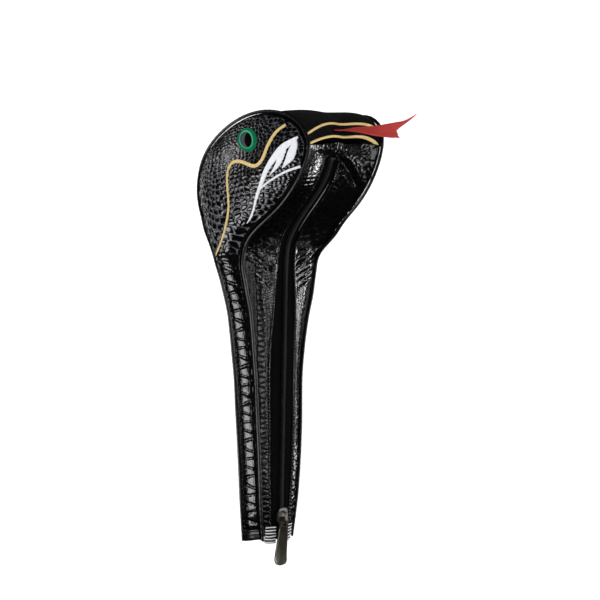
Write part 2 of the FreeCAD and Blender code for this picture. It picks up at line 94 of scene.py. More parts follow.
def travelled(points):
    """Length along a line of points, from 0 at its first one."""
    return np.concatenate([[0.0], np.cumsum(np.linalg.norm(np.diff(points, axis=0), axis=1))])


def columns_at(at, places, table):
    """Each column of a table, interpolated at the given places."""
    return joined(*(np.interp(at, places, column) for column in np.transpose(table)))


def spline(points, count):
    """Points of the natural cubic spline through the given points."""
    p = np.array(points, float)
    t = travelled(p)
    h = np.diff(t)
    n = len(p)
    left, right = np.eye(n), np.zeros_like(p)
    for i in range(1, n - 1):
        left[i, i - 1:i + 2] = h[i - 1], 2 * (h[i - 1] + h[i]), h[i]
        right[i] = 6 * ((p[i + 1] - p[i]) / h[i] - (p[i] - p[i - 1]) / h[i - 1])
    bend = np.linalg.solve(left, right)
    s = np.linspace(0, t[-1], count)
    k = np.clip(np.searchsorted(t, s, side="right") - 1, 0, n - 2)
    after, before, span = (s - t[k])[:, None], (t[k + 1] - s)[:, None], h[k][:, None]
    return ((bend[k] * before ** 3 + bend[k + 1] * after ** 3) / (6 * span)
            + (p[k] / span - bend[k] * span / 6) * before
            + (p[k + 1] / span - bend[k + 1] * span / 6) * after)


def profile(stations, place):
    """Smooth monotone curve through (place, value) stations, for an array of places."""
    at, value = np.array(stations, float).T
    width = np.diff(at)
    secant = np.diff(value) / width
    slope = np.empty(len(at))
    slope[0], slope[-1] = secant[0], secant[-1]
    product = secant[:-1] * secant[1:]
    total = np.where(product > 0, secant[:-1] + secant[1:], 1.0)
    slope[1:-1] = np.where(product > 0, 2 * product / total, 0.0)
    place = np.clip(place, at[0], at[-1])
    k = np.clip(np.searchsorted(at, place, side="right") - 1, 0, len(at) - 2)
    t, w = (place - at[k]) / width[k], width[k]
    return ((2 * t ** 3 - 3 * t ** 2 + 1) * value[k] + (t ** 3 - 2 * t ** 2 + t) * w * slope[k]
            + (3 * t ** 2 - 2 * t ** 3) * value[k + 1] + (t ** 3 - t ** 2) * w * slope[k + 1])


def smooth_step(low, high, value):
    t = np.clip((value - low) / (high - low), 0.0, 1.0)
    return t * t * (3 - 2 * t)


def bell(value, middle, width):
    """1 in the middle, falling to 0 on both sides."""
    return np.exp(-((value - middle) / width) ** 2)


def unit(vectors):
    return vectors / np.maximum(np.linalg.norm(vectors, axis=-1, keepdims=True), 1e-9)


EDGE_SAMPLES = 4000
edge = spline([(x, crown, z) for x, z, crown in OUTLINE], EDGE_SAMPLES)
edge_run = travelled(edge[:, [0, 2]])
edge_length = edge_run[-1]
edge_top = int(np.argmax(edge[:, 2]))
edge_slope = np.stack([np.gradient(edge[:, 0]), np.gradient(edge[:, 2])], axis=1)
edge_slope /= np.linalg.norm(edge_slope, axis=1)[:, None]


def edge_at(run):
    """x, z, outward normal x and z, and crown at running lengths along the edge."""
    run = np.asarray(run, float)
    x, z = np.interp(run, edge_run, edge[:, 0]), np.interp(run, edge_run, edge[:, 2])
    nx, nz = np.interp(run, edge_run, edge_slope[:, 1]), -np.interp(run, edge_run, edge_slope[:, 0])
    z = z + np.minimum(run, 0) - np.maximum(run - edge_length, 0)
    return x, z, nx, nz, np.interp(run, edge_run, edge[:, 1])


def height_at(run):
    return edge_at(run)[1]


def front_run(z):
    return float(np.interp(z, edge[:edge_top + 1, 2], edge_run[:edge_top + 1]))


def back_run(z):
    return float(np.interp(z, edge[edge_top:, 2][::-1], edge_run[edge_top:][::-1]))


def chord(z):
    """Front and back x of the side panel at the given heights."""
    front = np.interp(z, edge[:edge_top + 1, 2], edge[:edge_top + 1, 0])
    back = np.interp(z, edge[edge_top:, 2][::-1], edge[edge_top:, 0][::-1])
    return front, back


def half_width(z):
    return profile(HALF_WIDTH, z)


def side_reach(x, z):
    """How far the side panel's outer face stands from the centre plane."""
    front, back = chord(z)
    across = (2 * x - front - back) / np.maximum(front - back, 1e-3)
    return half_width(z) + profile(SIDE_BULGE, z) * np.maximum(1 - across ** 2, 0.0)


LEAN = math.tan(math.radians(ZIPPER_LEAN))
STRAIGHT_END = front_run(ZIPPER_STRAIGHT + 24)


def gusset_rise(run):
    """How far the gusset's centre line stands out of the edge."""
    x, z, nx, nz, crown = edge_at(run)
    toward = nx - LEAN * nz
    straight = (ZIPPER_START + LEAN * z - x) / np.where(np.abs(toward) > 0.2, toward, 1.0)
    fade = np.where(run > STRAIGHT_END, 1.0, smooth_step(ZIPPER_STRAIGHT, ZIPPER_STRAIGHT + 20, z))
    return straight * (1 - fade) + crown * fade


def gusset_point(run, y, lift=0.0):
    """Points of the gusset's outer face, lifted outward."""
    x, z, nx, nz, _ = edge_at(run)
    rise = gusset_rise(run) * (1 - (y / half_width(z)) ** 2) + lift
    return joined(x + nx * rise, y, z + nz * rise)


def side_point(x, z, lift=0.0):
    """Points of the right panel's outer face, lifted outward along -Y."""
    return joined(x, -side_reach(x, z) - lift, z)


def outward(points, reference):
    """Unit normals of a grid of points, turned to agree with a reference direction."""
    normal = unit(np.cross(np.gradient(points, axis=0), np.gradient(points, axis=1)))
    sign = np.sign((normal * reference).sum(axis=-1, keepdims=True))
    return normal * np.where(sign == 0, 1, sign)


def gusset_outward(run):
    _, _, nx, nz, _ = edge_at(run)
    return joined(nx, 0.0, nz)


# ------------------------------------------------------------------ meshes
def slumped(points):
    """Points in metres moved with the cloth's set: the left front corner of the crown
    stands up and out, the left of the waist bellies out, and the hem dips at the back."""
    x, y, z = points.T
    corner = smooth_step(0.030, 0.090, x) * smooth_step(0.0, 0.044, y) * smooth_step(0.335, 0.374, z)
    waist = smooth_step(0.008, 0.045, y) * bell(z, 0.284, 0.011)
    tilt = 0.22 * x * smooth_step(0.014, 0.006, x) * smooth_step(0.035, 0.0, z)
    return (points + corner[:, None] * np.array([0.006, 0.003, 0.015])
            + waist[:, None] * np.array([0.0045, 0.002, 0.0])
            + tilt[:, None] * np.array([0.0, 0.0, 1.0]))


def new_object(name, data):
    made = bpy.data.objects.new(name, data)
    bpy.context.scene.collection.objects.link(made)
    return made


def finish_piece(name, mesh, body, slot, replaced=(), finish=None):
    """The object of a mesh, riding on its body. It has its slot's own finish, unless
    another one is given."""
    mesh.shade_smooth()
    mesh.materials.append(MATERIALS[finish or slot])
    if body == "cover":
        flat = np.empty(len(mesh.vertices) * 3)
        mesh.vertices.foreach_get("co", flat)
        mesh.vertices.foreach_set("co", slumped(flat.reshape(-1, 3)).ravel())
        mesh.update()
    piece = new_object(name, mesh)
    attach(piece, body)
    if replaced:
        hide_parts(*replaced)
    return piece


def finish_pair(name, slot, node, make_mesh, finish=None):
    """The same piece on the right and on the left of the cover. make_mesh gives its
    mesh from its name and whether it is mirrored."""
    return [finish_piece(side + name, make_mesh(side + name, mirror), "cover", slot,
                         [side + node] if node else (), finish)
            for side, mirror in SIDES]


def new_mesh(name, vertices, faces):
    mesh = bpy.data.meshes.new(name)
    mesh.from_pydata((np.asarray(vertices) * MM).tolist(), [], faces)
    mesh.validate()
    mesh.update()
    return mesh


def mirrored(points, mirror=True):
    """The points, moved to the other side if they are to be mirrored."""
    return points * np.array([1.0, -1.0 if mirror else 1.0, 1.0])


def add_uv(mesh, uv):
    """Running sizes in millimetres, a pair for each vertex, as a UV map in metres."""
    corner = np.empty(len(mesh.loops), int)
    mesh.loops.foreach_get("vertex_index", corner)
    mesh.uv_layers.new(name="uv").data.foreach_set("uv", (uv.reshape(-1, 2)[corner] * MM).ravel())


def grid_faces(rows, columns, close_rows=False, close_columns=False, flip=False):
    i = np.arange(rows if close_rows else rows - 1)[:, None]
    j = np.arange(columns if close_columns else columns - 1)[None, :]
    below, beside = ((i + 1) % rows) * columns, (j + 1) % columns
    quads = joined(i * columns + j, i * columns + beside, below + beside, below + j).reshape(-1, 4)
    return quads[:, ::-1] if flip else quads


def grid_mesh(name, points, uv, mirror=False, flip=False, relief=None):
    """A mesh over a grid of points, with its running sizes as UV and, where given, a point attribute named
    relief: on the snakeskin, the tone that sets the painted highlight in its grooves."""
    faces = grid_faces(*points.shape[:2], flip=flip != mirror)
    mesh = new_mesh(name, mirrored(points, mirror).reshape(-1, 3), faces.tolist())
    add_uv(mesh, uv)
    if relief is not None:
        layer = mesh.attributes.new("relief", "FLOAT", "POINT")
        layer.data.foreach_set("value", relief.ravel().astype(np.float32))
    return mesh


def gusset_mesh(name, points, run, y, mirror=False, relief=None):
    """A grid mesh on the gusset, turned outward as its middle face shows."""
    uv = joined(y, run)
    mesh = grid_mesh(name, points, uv, mirror, relief=relief)
    middle = mesh.polygons[len(mesh.polygons) // 2].normal
    _, _, nx, nz, _ = edge_at(uv[uv.shape[0] // 2, uv.shape[1] // 2, 1])
    if middle.x * nx + middle.z * nz < 0:
        mesh.flip_normals()
    return mesh


def merged(parts):
    """Vertices and faces of several (vertices, faces) pairs as one pair."""
    vertices, faces, start = [], [], 0
    for points, quads in parts:
        vertices.append(points)
        faces.extend((np.asarray(quads) + start).tolist())
        start += len(points)
    return np.concatenate(vertices), faces


# ------------------------------------------------------------------ relief of the skin
def hashed(i, j, seed):
    """A steady pseudo-random number from 0 to 1 for each whole (i, j)."""
    value = np.sin(i * 127.1 + j * 311.7 + seed * 74.7) * 43758.5453
    return value - np.floor(value)


def pebbles(p, q, seed=1.0, jitter=0.5):
    """Rounded irregular grains, 0 in the grooves and 1 on top; one per unit cell."""
    i, j = np.floor(p), np.floor(q)
    nearest, second = np.full(p.shape, 9.0), np.full(p.shape, 9.0)
    for di in (-1, 0, 1):
        for dj in (-1, 0, 1):
            ci, cj = i + di, j + dj
            cx = ci + 0.5 + jitter * (hashed(ci, cj, seed) - 0.5)
            cy = cj + 0.5 + jitter * (hashed(ci, cj, seed + 3) - 0.5)
            gap = np.hypot(p - cx, q - cy)
            second = np.minimum(second, np.maximum(gap, nearest))
            nearest = np.minimum(nearest, gap)
    return smooth_step(0.04, 0.42, second - nearest)


def ripple(p, q, seed=0.0):
    """Slow uneven waves between -1 and 1."""
    return (np.sin(p * 1.0 + 1.3 * np.sin(q * 0.7 + seed) + seed) * 0.5
            + np.sin(q * 1.1 + 1.7 * np.sin(p * 0.6 + 2 * seed)) * 0.3
            + np.sin((p + q) * 1.9 + seed * 5) * 0.2)


def rhombs(p, q):
    """Overlapping rhombic scales, one wide and one high per unit of p and q."""
    a, b = p + q, p - q
    fa, fb = a - np.floor(a), b - np.floor(b)
    border = 2 * np.minimum(np.minimum(fa, 1 - fa), np.minimum(fb, 1 - fb))
    lower = 1 - (fa - fb + 1) / 2
    tone = hashed(np.floor(a), np.floor(b), 7.0)
    return smooth_step(0.05, 0.5, border) * (0.62 + 0.38 * lower) * (0.85 + 0.15 * tone)


def plates(offset, z, half, pitch):
    """One column of broad plates, domed, with joints that slant to and fro."""
    row = z / pitch + 0.06 * np.sin(z * 0.9)
    count = np.round(row)
    slant = 0.22 * np.where(count % 2 < 1, 1.0, -1.0)
    away = np.abs(row - count + slant * offset / half)
    u = np.abs(offset / half)
    bow = np.clip(1 - 2 * away, 0, 1) ** 2
    reach = 1 - 0.34 * bow
    mask = smooth_step(reach, reach - 0.16, u) * smooth_step(0.02, 0.15, away)
    return mask, mask * (0.78 + 0.22 * (1 - bow) * (1 - u ** 2))


def head_scales(p, z):
    """Irregular scales in slanting rows: broad and blunt low on the head, small and
    pebbled round the eye."""
    swirl = 0.4 * ripple(p * 0.06, z * 0.05, 2.0)
    row = z / 6.6 + 0.03 * p + swirl
    broad = pebbles(p / 9.4 + 0.5 * np.floor(row) + swirl, row, 1.0, 0.5)
    middling = pebbles(p / 6.4 + swirl, z / 4.6 + swirl, 2.0, 0.7)
    fine = pebbles(p / 4.4 + swirl, z / 3.5 + swirl, 4.0, 0.85)
    at = z + 0.75 * p + 6 * ripple(p * 0.13, z * 0.11, 5.0)
    first, second = smooth_step(304, 322, at), smooth_step(350, 370, at)
    return (broad * (1 - first) + middling * first) * (1 - second) + fine * second


def skin_relief(p, z, middle, column_half, pitch, head):
    """Relief of the embossed skin, 0 to 1, and the tone that sets the painted highlight: only the grooves of
    the head have a low tone, which the snakeskin paints pale as a painted highlight on the scale edges. head
    goes from 0 on the neck to 1 on the head."""
    scales = rhombs((p - middle) / RHOMB_WIDTH, 2 * z / pitch)
    mask, column = plates(p - middle, z, column_half, pitch)
    neck = 0.62 * scales * (1 - mask) + column * (0.92 + 0.08 * pebbles(p / 1.5, z / 1.5))
    scaled = head_scales(p, z)
    # The tone is the painted highlight mask: low in the head's grooves, and held at 0.2 or more toward the
    # top of the head, where the painted highlight is fainter.
    tone = np.maximum(scaled, 0.2 * smooth_step(325, 368, z + 0.5 * p))
    return neck * (1 - head) + 0.85 * scaled * head, (0.55 + 0.45 * neck) * (1 - head) + tone * head


def edge_distance(x, z, block=8192):
    """Distance of panel points from the panel's edge, worked out a block at a time."""
    line = edge[::8][:, [0, 2]].astype(np.float32)
    points = joined(x, z).reshape(-1, 2).astype(np.float32)
    away = [np.hypot(*(points[start:start + block, None] - line).transpose(2, 0, 1)).min(axis=1)
            for start in range(0, len(points), block)]
    return np.concatenate(away).reshape(x.shape).astype(float)


def crease(p, q, start, end, width, depth):
    """A soft furrow along a straight line between two places, with a ridge beside it."""
    start = np.array(start, float)
    along = np.array(end, float) - start
    length = np.linalg.norm(along)
    along /= length
    dp, dq = p - start[0], q - start[1]
    t = (dp * along[0] + dq * along[1]) / length
    off = (dq * along[0] - dp * along[1]) / width
    ends = smooth_step(-0.25, 0.25, t) * smooth_step(1.25, 0.75, t)
    return -depth * ends * (bell(off, 0.0, 1.0) - 0.7 * bell(off, 1.9, 1.0))


# ------------------------------------------------------------------ materials
MATERIALS = {}


class Nodes:
    """A short way to write a node material."""

    def __init__(self, name):
        self.material = bpy.data.materials.new(name)
        self.material.use_nodes = True
        self.tree = self.material.node_tree
        self.link = self.tree.links.new
        self.shader = self.tree.nodes["Principled BSDF"]

    def add(self, kind, **values):
        """A node with its properties and inputs set; _ stands for a space in an input's name."""
        node = self.tree.nodes.new(kind)
        for key, value in values.items():
            if hasattr(node, key):
                setattr(node, key, value)
            else:
                node.inputs[key.replace("_", " ")].default_value = value
        return node

    def place(self, scale=(1.0, 1.0, 1.0), kind="Object"):
        """Object or UV coordinates in metres, scaled."""
        mapping = self.add("ShaderNodeMapping", Scale=scale)
        self.link(self.add("ShaderNodeTexCoord").outputs[kind], mapping.inputs["Vector"])
        return mapping.outputs["Vector"]

    def noise(self, scale, detail=4.0, roughness=0.55, where=None):
        node = self.add("ShaderNodeTexNoise", Scale=scale, Detail=detail, Roughness=roughness)
        self.link(where or self.place(), node.inputs["Vector"])
        return node.outputs["Fac"]

    def ramp(self, factor, stops):
        node = self.add("ShaderNodeValToRGB")
        elements = node.color_ramp.elements
        while len(elements) < len(stops):
            elements.new(0.5)
        for element, (at, colour) in zip(elements, stops):
            element.position = at
            element.color = (*colour, 1.0)
        self.link(factor, node.inputs["Fac"])
        return node.outputs["Color"]

    def scaled(self, factor, low, high):
        node = self.add("ShaderNodeMapRange", To_Min=low, To_Max=high)
        self.link(factor, node.inputs["Value"])
        return node.outputs["Result"]

    def mixed(self, factor, first, second):
        """A mix of two colours, each a tuple or another node's output."""
        node = self.add("ShaderNodeMix", data_type="RGBA")
        self.link(factor, node.inputs[0])
        for socket, value in ((node.inputs[6], first), (node.inputs[7], second)):
            if isinstance(value, tuple):
                socket.default_value = (*value, 1.0)
            else:
                self.link(value, socket)
        return node.outputs[2]

    def math(self, kind, first, second):
        node = self.add("ShaderNodeMath", operation=kind)
        self.link(first, node.inputs[0])
        self.link(second, node.inputs[1])
        return node.outputs[0]

    def waves(self, scale, direction):
        """Bands across the UV map."""
        node = self.add("ShaderNodeTexWave", wave_type="BANDS", bands_direction=direction,
                        wave_profile="SIN", Scale=scale)
        self.link(self.place(kind="UV"), node.inputs["Vector"])
        return node.outputs["Fac"]

    def settings(self, **values):
        for key, value in values.items():
            self.shader.inputs[key.replace("_", " ")].default_value = value

    def surface(self, colour, rough, bumps, **values):
        """The finished material: colour, roughness, chained bumps of (height, strength,
        distance in metres), and the shader's other settings."""
        self.link(colour, self.shader.inputs["Base Color"])
        self.link(rough, self.shader.inputs["Roughness"])
        normal = None
        for height, strength, distance in bumps:
            node = self.add("ShaderNodeBump", Strength=strength, Distance=distance)
            self.link(height, node.inputs["Height"])
            if normal:
                self.link(normal, node.inputs["Normal"])
            normal = node.outputs["Normal"]
        self.link(normal, self.shader.inputs["Normal"])
        self.settings(**values)
        return self.material


def snakeskin_material():
    """Patent-gloss black PU with embossed scales: rougher grooves painted pale grey as a painted highlight on
    the scale edges, and polished tops.
    """
    n = Nodes("snakeskin")
    relief = n.add("ShaderNodeAttribute", attribute_name="relief").outputs["Fac"]
    cloud, grain = n.noise(60.0, 3.0), n.noise(1500.0, 3.0)
    # The pale greys at the low end of the ramp are a painted highlight on the scale edges.
    base = n.ramp(relief, [(0.0, (0.110, 0.110, 0.122)), (0.16, (0.060, 0.060, 0.067)),
                           (0.4, (0.0020, 0.0020, 0.0022)), (1.0, (0.0010, 0.0010, 0.0012))])
    rough = n.math("ADD", n.scaled(relief, 0.38, 0.24), n.scaled(cloud, -0.06, 0.08))
    return n.surface(n.mixed(n.scaled(cloud, 0.0, 0.3), base, (0.003, 0.003, 0.0036)),
                     n.math("ADD", rough, n.scaled(grain, -0.03, 0.03)),
                     [(n.noise(420.0, 4.0), 0.3, 0.0006), (grain, 0.14, 0.0002)],
                     Specular_IOR_Level=0.10, Coat_Weight=1.0, Coat_Roughness=0.09, Coat_IOR=1.5)


def cloth_material(name, dark, light, weave=2200.0, rough=0.9, sheen=0.0, strength=0.4, fuzz=900.0):
    """A plain weave: two crossed rows of threads, with fine fuzz."""
    n = Nodes(name)
    cloth = n.math("MULTIPLY", n.waves(weave, "X"), n.waves(weave, "Y"))
    fibre = n.noise(fuzz, 5.0)
    tone = n.mixed(n.scaled(fibre, 0.15, 0.85), dark, light)
    return n.surface(n.mixed(n.scaled(cloth, 0.35, 0.0), tone, dark),
                     n.scaled(fibre, rough - 0.08, rough + 0.06),
                     [(cloth, strength, 0.0003), (fibre, strength * 0.6, 0.0003)],
                     Specular_IOR_Level=0.05, Sheen_Weight=sheen, Sheen_Roughness=0.4)


def thread_material(name, dark, light, lustre=0.5):
    """Satin stitch: fine parallel threads with a soft lustre along them."""
    n = Nodes(name)
    thread, drift = n.waves(1500.0, "X"), n.noise(380.0, 3.0)
    tone = n.mixed(n.scaled(drift, 0.1, 0.9), dark, light)
    return n.surface(n.mixed(n.scaled(thread, 0.45, 0.0), tone, dark), n.scaled(thread, 0.62, 0.42),
                     [(thread, 0.5, 0.0002), (drift, 0.25, 0.0003)], Specular_IOR_Level=lustre)


def leather_material(name, dark, light, rough=0.4, coat=0.2, grain=900.0):
    """Smooth coated leather with a faint grain."""
    n = Nodes(name)
    cloud, pores = n.noise(90.0, 4.0), n.noise(grain, 5.0, 0.6)
    return n.surface(n.mixed(n.scaled(cloud, 0.1, 0.9), dark, light),
                     n.scaled(pores, rough - 0.08, rough + 0.12),
                     [(pores, 0.35, 0.0003), (cloud, 0.3, 0.0008)],
                     Specular_IOR_Level=0.5, Coat_Weight=coat, Coat_Roughness=0.2)


def metal_material(name, dark, light, rough=0.2):
    """Plated zinc: slight colour drift, fine scratches and handling haze."""
    n = Nodes(name)
    cloud = n.noise(260.0, 4.0)
    scratch = n.noise(180.0, 6.0, 0.7, where=n.place((1.0, 14.0, 1.0)))
    return n.surface(n.mixed(n.scaled(cloud, 0.0, 1.0), dark, light),
                     n.math("ADD", n.scaled(cloud, rough - 0.06, rough + 0.1),
                            n.scaled(scratch, -0.03, 0.05)),
                     [(scratch, 0.08, 0.0002), (cloud, 0.08, 0.0003)], Metallic=1.0)


BLACK_PU = ((0.0012, 0.0012, 0.0014), (0.004, 0.004, 0.0045))
# Each finish but the snakeskin: its maker, name, dark and light colour, and settings.
FINISHES = [
    (cloth_material, "crown_fabric", (0.0010, 0.0010, 0.0011), (0.0062, 0.0062, 0.0067),
     {"weave": 1600.0, "sheen": 0.02}),
    (leather_material, "piping", *BLACK_PU, {"rough": 0.3, "coat": 0.4}),
    (cloth_material, "foam", (0.12, 0.12, 0.125), (0.3, 0.3, 0.31), {"weave": 500.0, "fuzz": 1400.0}),
    (cloth_material, "lining", (0.02, 0.02, 0.022), (0.07, 0.07, 0.075),
     {"weave": 400.0, "sheen": 0.4, "strength": 0.8, "fuzz": 700.0}),
    (leather_material, "hem_tape", *BLACK_PU, {"rough": 0.3, "coat": 0.4, "grain": 1400.0}),
    (cloth_material, "elastic", (0.42, 0.42, 0.43), (0.85, 0.86, 0.88),
     {"weave": 2600.0, "rough": 0.6, "sheen": 0.2}),
    (cloth_material, "elastic_ground", (0.006, 0.006, 0.007), (0.02, 0.02, 0.022), {"weave": 2600.0}),
    (cloth_material, "zipper_tape", (0.0006, 0.0007, 0.0007), (0.0032, 0.0036, 0.0036),
     {"weave": 1900.0}),
    (leather_material, "zipper_coil", (0.001, 0.001, 0.0012), (0.0035, 0.0035, 0.004),
     {"rough": 0.55, "coat": 0.0}),
    (thread_material, "green_thread", (0.0, 0.05, 0.02), (0.0, 0.21, 0.085), {"lustre": 0.15}),
    # A brighter copy of the green thread, for the eye's painted highlight.
    (thread_material, "bright_green_thread", (0.01, 0.24, 0.12), (0.08, 0.60, 0.34), {}),
    (thread_material, "black_thread", (0.0006, 0.0006, 0.0007), (0.0016, 0.0016, 0.0018),
     {"lustre": 0.04}),
    (thread_material, "grey_thread", (0.03, 0.03, 0.035), (0.085, 0.085, 0.1), {}),
    (thread_material, "gold_thread", (0.42, 0.29, 0.09), (0.82, 0.64, 0.30), {}),
    (thread_material, "white_thread", (0.5, 0.51, 0.55), (0.88, 0.89, 0.91), {}),
    (leather_material, "tongue_leather", (0.24, 0.016, 0.014), (0.42, 0.040, 0.034),
     {"rough": 0.5, "coat": 0.05, "grain": 700.0}),
    (metal_material, "nickel", (0.45, 0.42, 0.39), (0.75, 0.72, 0.68), {"rough": 0.3}),
    (metal_material, "gunmetal", (0.05, 0.046, 0.034), (0.085, 0.078, 0.058), {"rough": 0.34}),
]


def make_materials():
    MATERIALS["snakeskin"] = snakeskin_material()
    for maker, name, dark, light, values in FINISHES:
        MATERIALS[name] = maker(name, dark, light, **values)


# ------------------------------------------------------------------ camera, light, floor
CAMERA_AZIMUTH = 46.0
CAMERA_DISTANCE = 1.0
CAMERA_HEIGHT = 0.1974
CAMERA_LENS = 62.7
CAMERA_SHIFT = (0.0517, 0.05)
WHITE = (1.0, 1.0, 1.0, 1.0)
WORLD_STRENGTH, FLOOR_GLOW = 0.25, 0.42


def round_object(azimuth, distance, height):
    """A place round the object: azimuth 0 is in front of its right side."""
    a = math.radians(azimuth)
    return Vector((math.sin(a) * distance, -math.cos(a) * distance, height))


def make_camera():
    data = bpy.data.cameras.new("camera")
    data.lens = CAMERA_LENS
    data.shift_x, data.shift_y = CAMERA_SHIFT
    camera = new_object("camera", data)
    camera.location = round_object(CAMERA_AZIMUTH, CAMERA_DISTANCE, CAMERA_HEIGHT)
    camera.rotation_euler = (math.radians(90), 0, math.radians(CAMERA_AZIMUTH))
    bpy.context.scene.camera = camera


# Each softbox: name, azimuth from the camera, distance, height, size, power, the height
# that it looks at, and whether it shows in the gloss.
SOFTBOXES = [
    ("eye_softbox", -104, 1.3, 0.86, (0.40, 0.32), 1.6, 0.35, True),
    ("low_softbox", -64, 1.3, -0.20, (0.90, 0.50), 10.5, 0.10, True),
    ("near_softbox", 43, 1.3, 0.05, (0.24, 0.40), 0.9, 0.15, True),
    ("edge_strip", 63, 1.3, 0.10, (0.04, 0.7), 1.1, 0.2, True),
    ("waist_kicker", 73, 1.3, 0.455, (0.26, 0.12), 1.6, 0.28, True),
    ("back_strip", -145, 1.2, 0.32, (0.08, 0.9), 0.4, 0.22, True),
    ("right_strip", 113, 1.4, 0.25, (0.09, 1.0), 5.0, 0.22, True),
    ("pull_card", 88, 0.9, -0.24, (0.26, 0.16), 0.12, 0.0, True),
    ("top_softbox", -60, 0.6, 1.25, (0.40, 0.40), 3.6, 0.33, False),
    ("front_softbox", 14, 1.6, 1.35, (0.7, 0.4), 7.5, 0.22, False),
]


def make_studio():
    for name, azimuth, distance, height, size, power, aim, glossy in SOFTBOXES:
        data = bpy.data.lights.new(name, "AREA")
        data.shape = "RECTANGLE"
        data.size, data.size_y = size
        data.energy = power
        light = new_object(name, data)
        light.location = round_object(CAMERA_AZIMUTH + azimuth, distance, height)
        looking = Vector((0, 0, aim)) - light.location
        light.rotation_euler = looking.to_track_quat("-Z", "Y").to_euler()
        light.visible_glossy = glossy
    world = bpy.data.worlds.new("studio")
    bpy.context.scene.world = world
    world.use_nodes = True
    back = world.node_tree.nodes["Background"]
    back.inputs["Color"].default_value = WHITE
    back.inputs["Strength"].default_value = WORLD_STRENGTH
    world.cycles_visibility.glossy = False
    bpy.context.scene.view_settings.view_transform = "Standard"


FLOOR_HEIGHT, FLOOR_RADIUS = -0.16, 2.4


def make_floor():
    """A pale bowl: a round floor that curves up into a wall on every side. It is hidden
    from the gloss, as the world is."""
    n = Nodes("pale_sweep")
    n.link(n.mixed(n.scaled(n.noise(3.0, 2.0), 0.3, 0.7), (0.86, 0.86, 0.865), (0.9, 0.9, 0.9)),
           n.shader.inputs["Base Color"])
    n.settings(Roughness=0.85, Emission_Strength=FLOOR_GLOW, Emission_Color=WHITE)
    section = [(r, FLOOR_HEIGHT) for r in np.linspace(0.0, FLOOR_RADIUS, 9)]
    section += [(FLOOR_RADIUS + math.sin(a), FLOOR_HEIGHT + 1 - math.cos(a))
                for a in np.linspace(0.1, math.pi / 2, 12)]
    section += [(FLOOR_RADIUS + 1, FLOOR_HEIGHT + z) for z in np.linspace(1.2, 3.2, 5)]
    r, z = np.array(section).T
    turn = np.linspace(0, FULL_TURN, 65)[:, None]
    points = joined(r * np.cos(turn), r * np.sin(turn), z)
    mesh = new_mesh("sweep", points.reshape(-1, 3) / MM, grid_faces(*points.shape[:2]).tolist())
    mesh.shade_smooth()
    mesh.materials.append(n.material)
    floor = new_object("sweep", mesh)
    floor.visible_glossy = False


# ------------------------------------------------------------------ skins
def side_grid(rows, columns, low=0.0, inset=0.0):
    """x and z over the right panel: rungs from its front edge to its back edge."""
    ends = []
    for start in (front_run(low), back_run(low)):
        run = start + (edge_run[edge_top] - start) * np.linspace(0, 1, rows)
        x, z, nx, nz, _ = edge_at(run[:, None])
        ends.append((x - nx * inset, z - nz * inset))
    (front_x, front_z), (back_x, back_z) = ends
    a = np.linspace(0, 1, columns)
    return front_x * (1 - a) + back_x * a, front_z * (1 - a) + back_z * a


def head_share(z):
    """0 on the neck, 1 on the head."""
    return smooth_step(250, 280, z)


def neck_middle(z):
    front, back = chord(np.minimum(z, 262))
    return (front + back) / 2 + 3.4


SIDE_CREASES = [((-12, 262), (10, 250), 2.6, 0.7), ((-10, 280), (12, 266), 3.2, 0.6),
                ((6, 240), (13, 228), 2.4, 0.5)]


def seam_dip(away, depth, width):
    """How far a padded skin sinks toward its seam."""
    return depth * (1 - smooth_step(0.0, width, away)) ** 1.5


def side_skin(x, z):
    """Lift of the right panel's skin over its plain form, and the tone that sets the painted highlight in its
    grooves, with none near the seams.
    """
    away = edge_distance(x, z)
    relief, tone = skin_relief(x, z, neck_middle(z), 8.4, 8.6, head_share(z))
    tame = smooth_step(0.8, 3.2, away)
    lift = relief * (0.95 - 0.5 * smooth_step(325, 360, z + 0.3 * x)) * tame - seam_dip(away, 1.1, 2.4)
    lift += 0.35 * ripple(x * 0.055, z * 0.05, 4.0) * smooth_step(2, 20, away)
    for start, end, width, depth in SIDE_CREASES:
        lift += crease(x, z, start, end, width, depth) * smooth_step(0, 5, away)
    return lift, 1 - (1 - tone) * tame


def make_side_panels():
    x, z = side_grid(*SIDE_GRID)
    # The second value is that tone for the painted highlight; it goes to the mesh as its relief attribute.
    lift, relief = side_skin(x, z)
    points = side_point(x, z)
    points = points + outward(points, RIGHT) * lift[..., None]
    for piece in finish_pair("_skin", "snakeskin", "_side_panel", lambda name, mirror:
                             grid_mesh(name, points, joined(x, z), mirror, relief=relief)):
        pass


def gusset_grid(low, high, near, far, rows, columns):
    """run and y over a stretch of the gusset; low and high are functions of the
    share of the half width, near and far functions of height."""
    v = np.linspace(0, 1, columns)
    u = np.linspace(0, 1, rows)[:, None]
    share = (near(0.0) * (1 - v) + far(0.0) * v) / half_width(0.0)
    run = low(share) + u * (high(share) - low(share))
    z = height_at(run)
    return run, near(z) * (1 - v) + far(z) * v


def whole_gusset(low, high, rows, columns, inset=SEAM_INSET):
    """run, y, height and distance from the piping, from one side to the other."""
    def reach(z):
        return half_width(z) - inset

    run, y = gusset_grid(low, high, lambda z: -reach(z), reach, rows, columns)
    z = height_at(run)
    return run, y, z, reach(z) - np.abs(y)


def level(run):
    return lambda share: run + 0 * share


def lip_run(lip, shift=0.0):
    low, high = front_run(lip[0]), front_run(lip[1])
    return lambda share: low + (high - low) * (1 - share ** 2) + shift


def gusset_piece(name, run, y, lift, slot, node, relief=None, mirror=False):
    base = gusset_point(run, y)
    points = base + outward(base, gusset_outward(run)) * lift[..., None]
    finish_piece(name, gusset_mesh(name, points, run, y, mirror, relief), "cover", slot, [node])


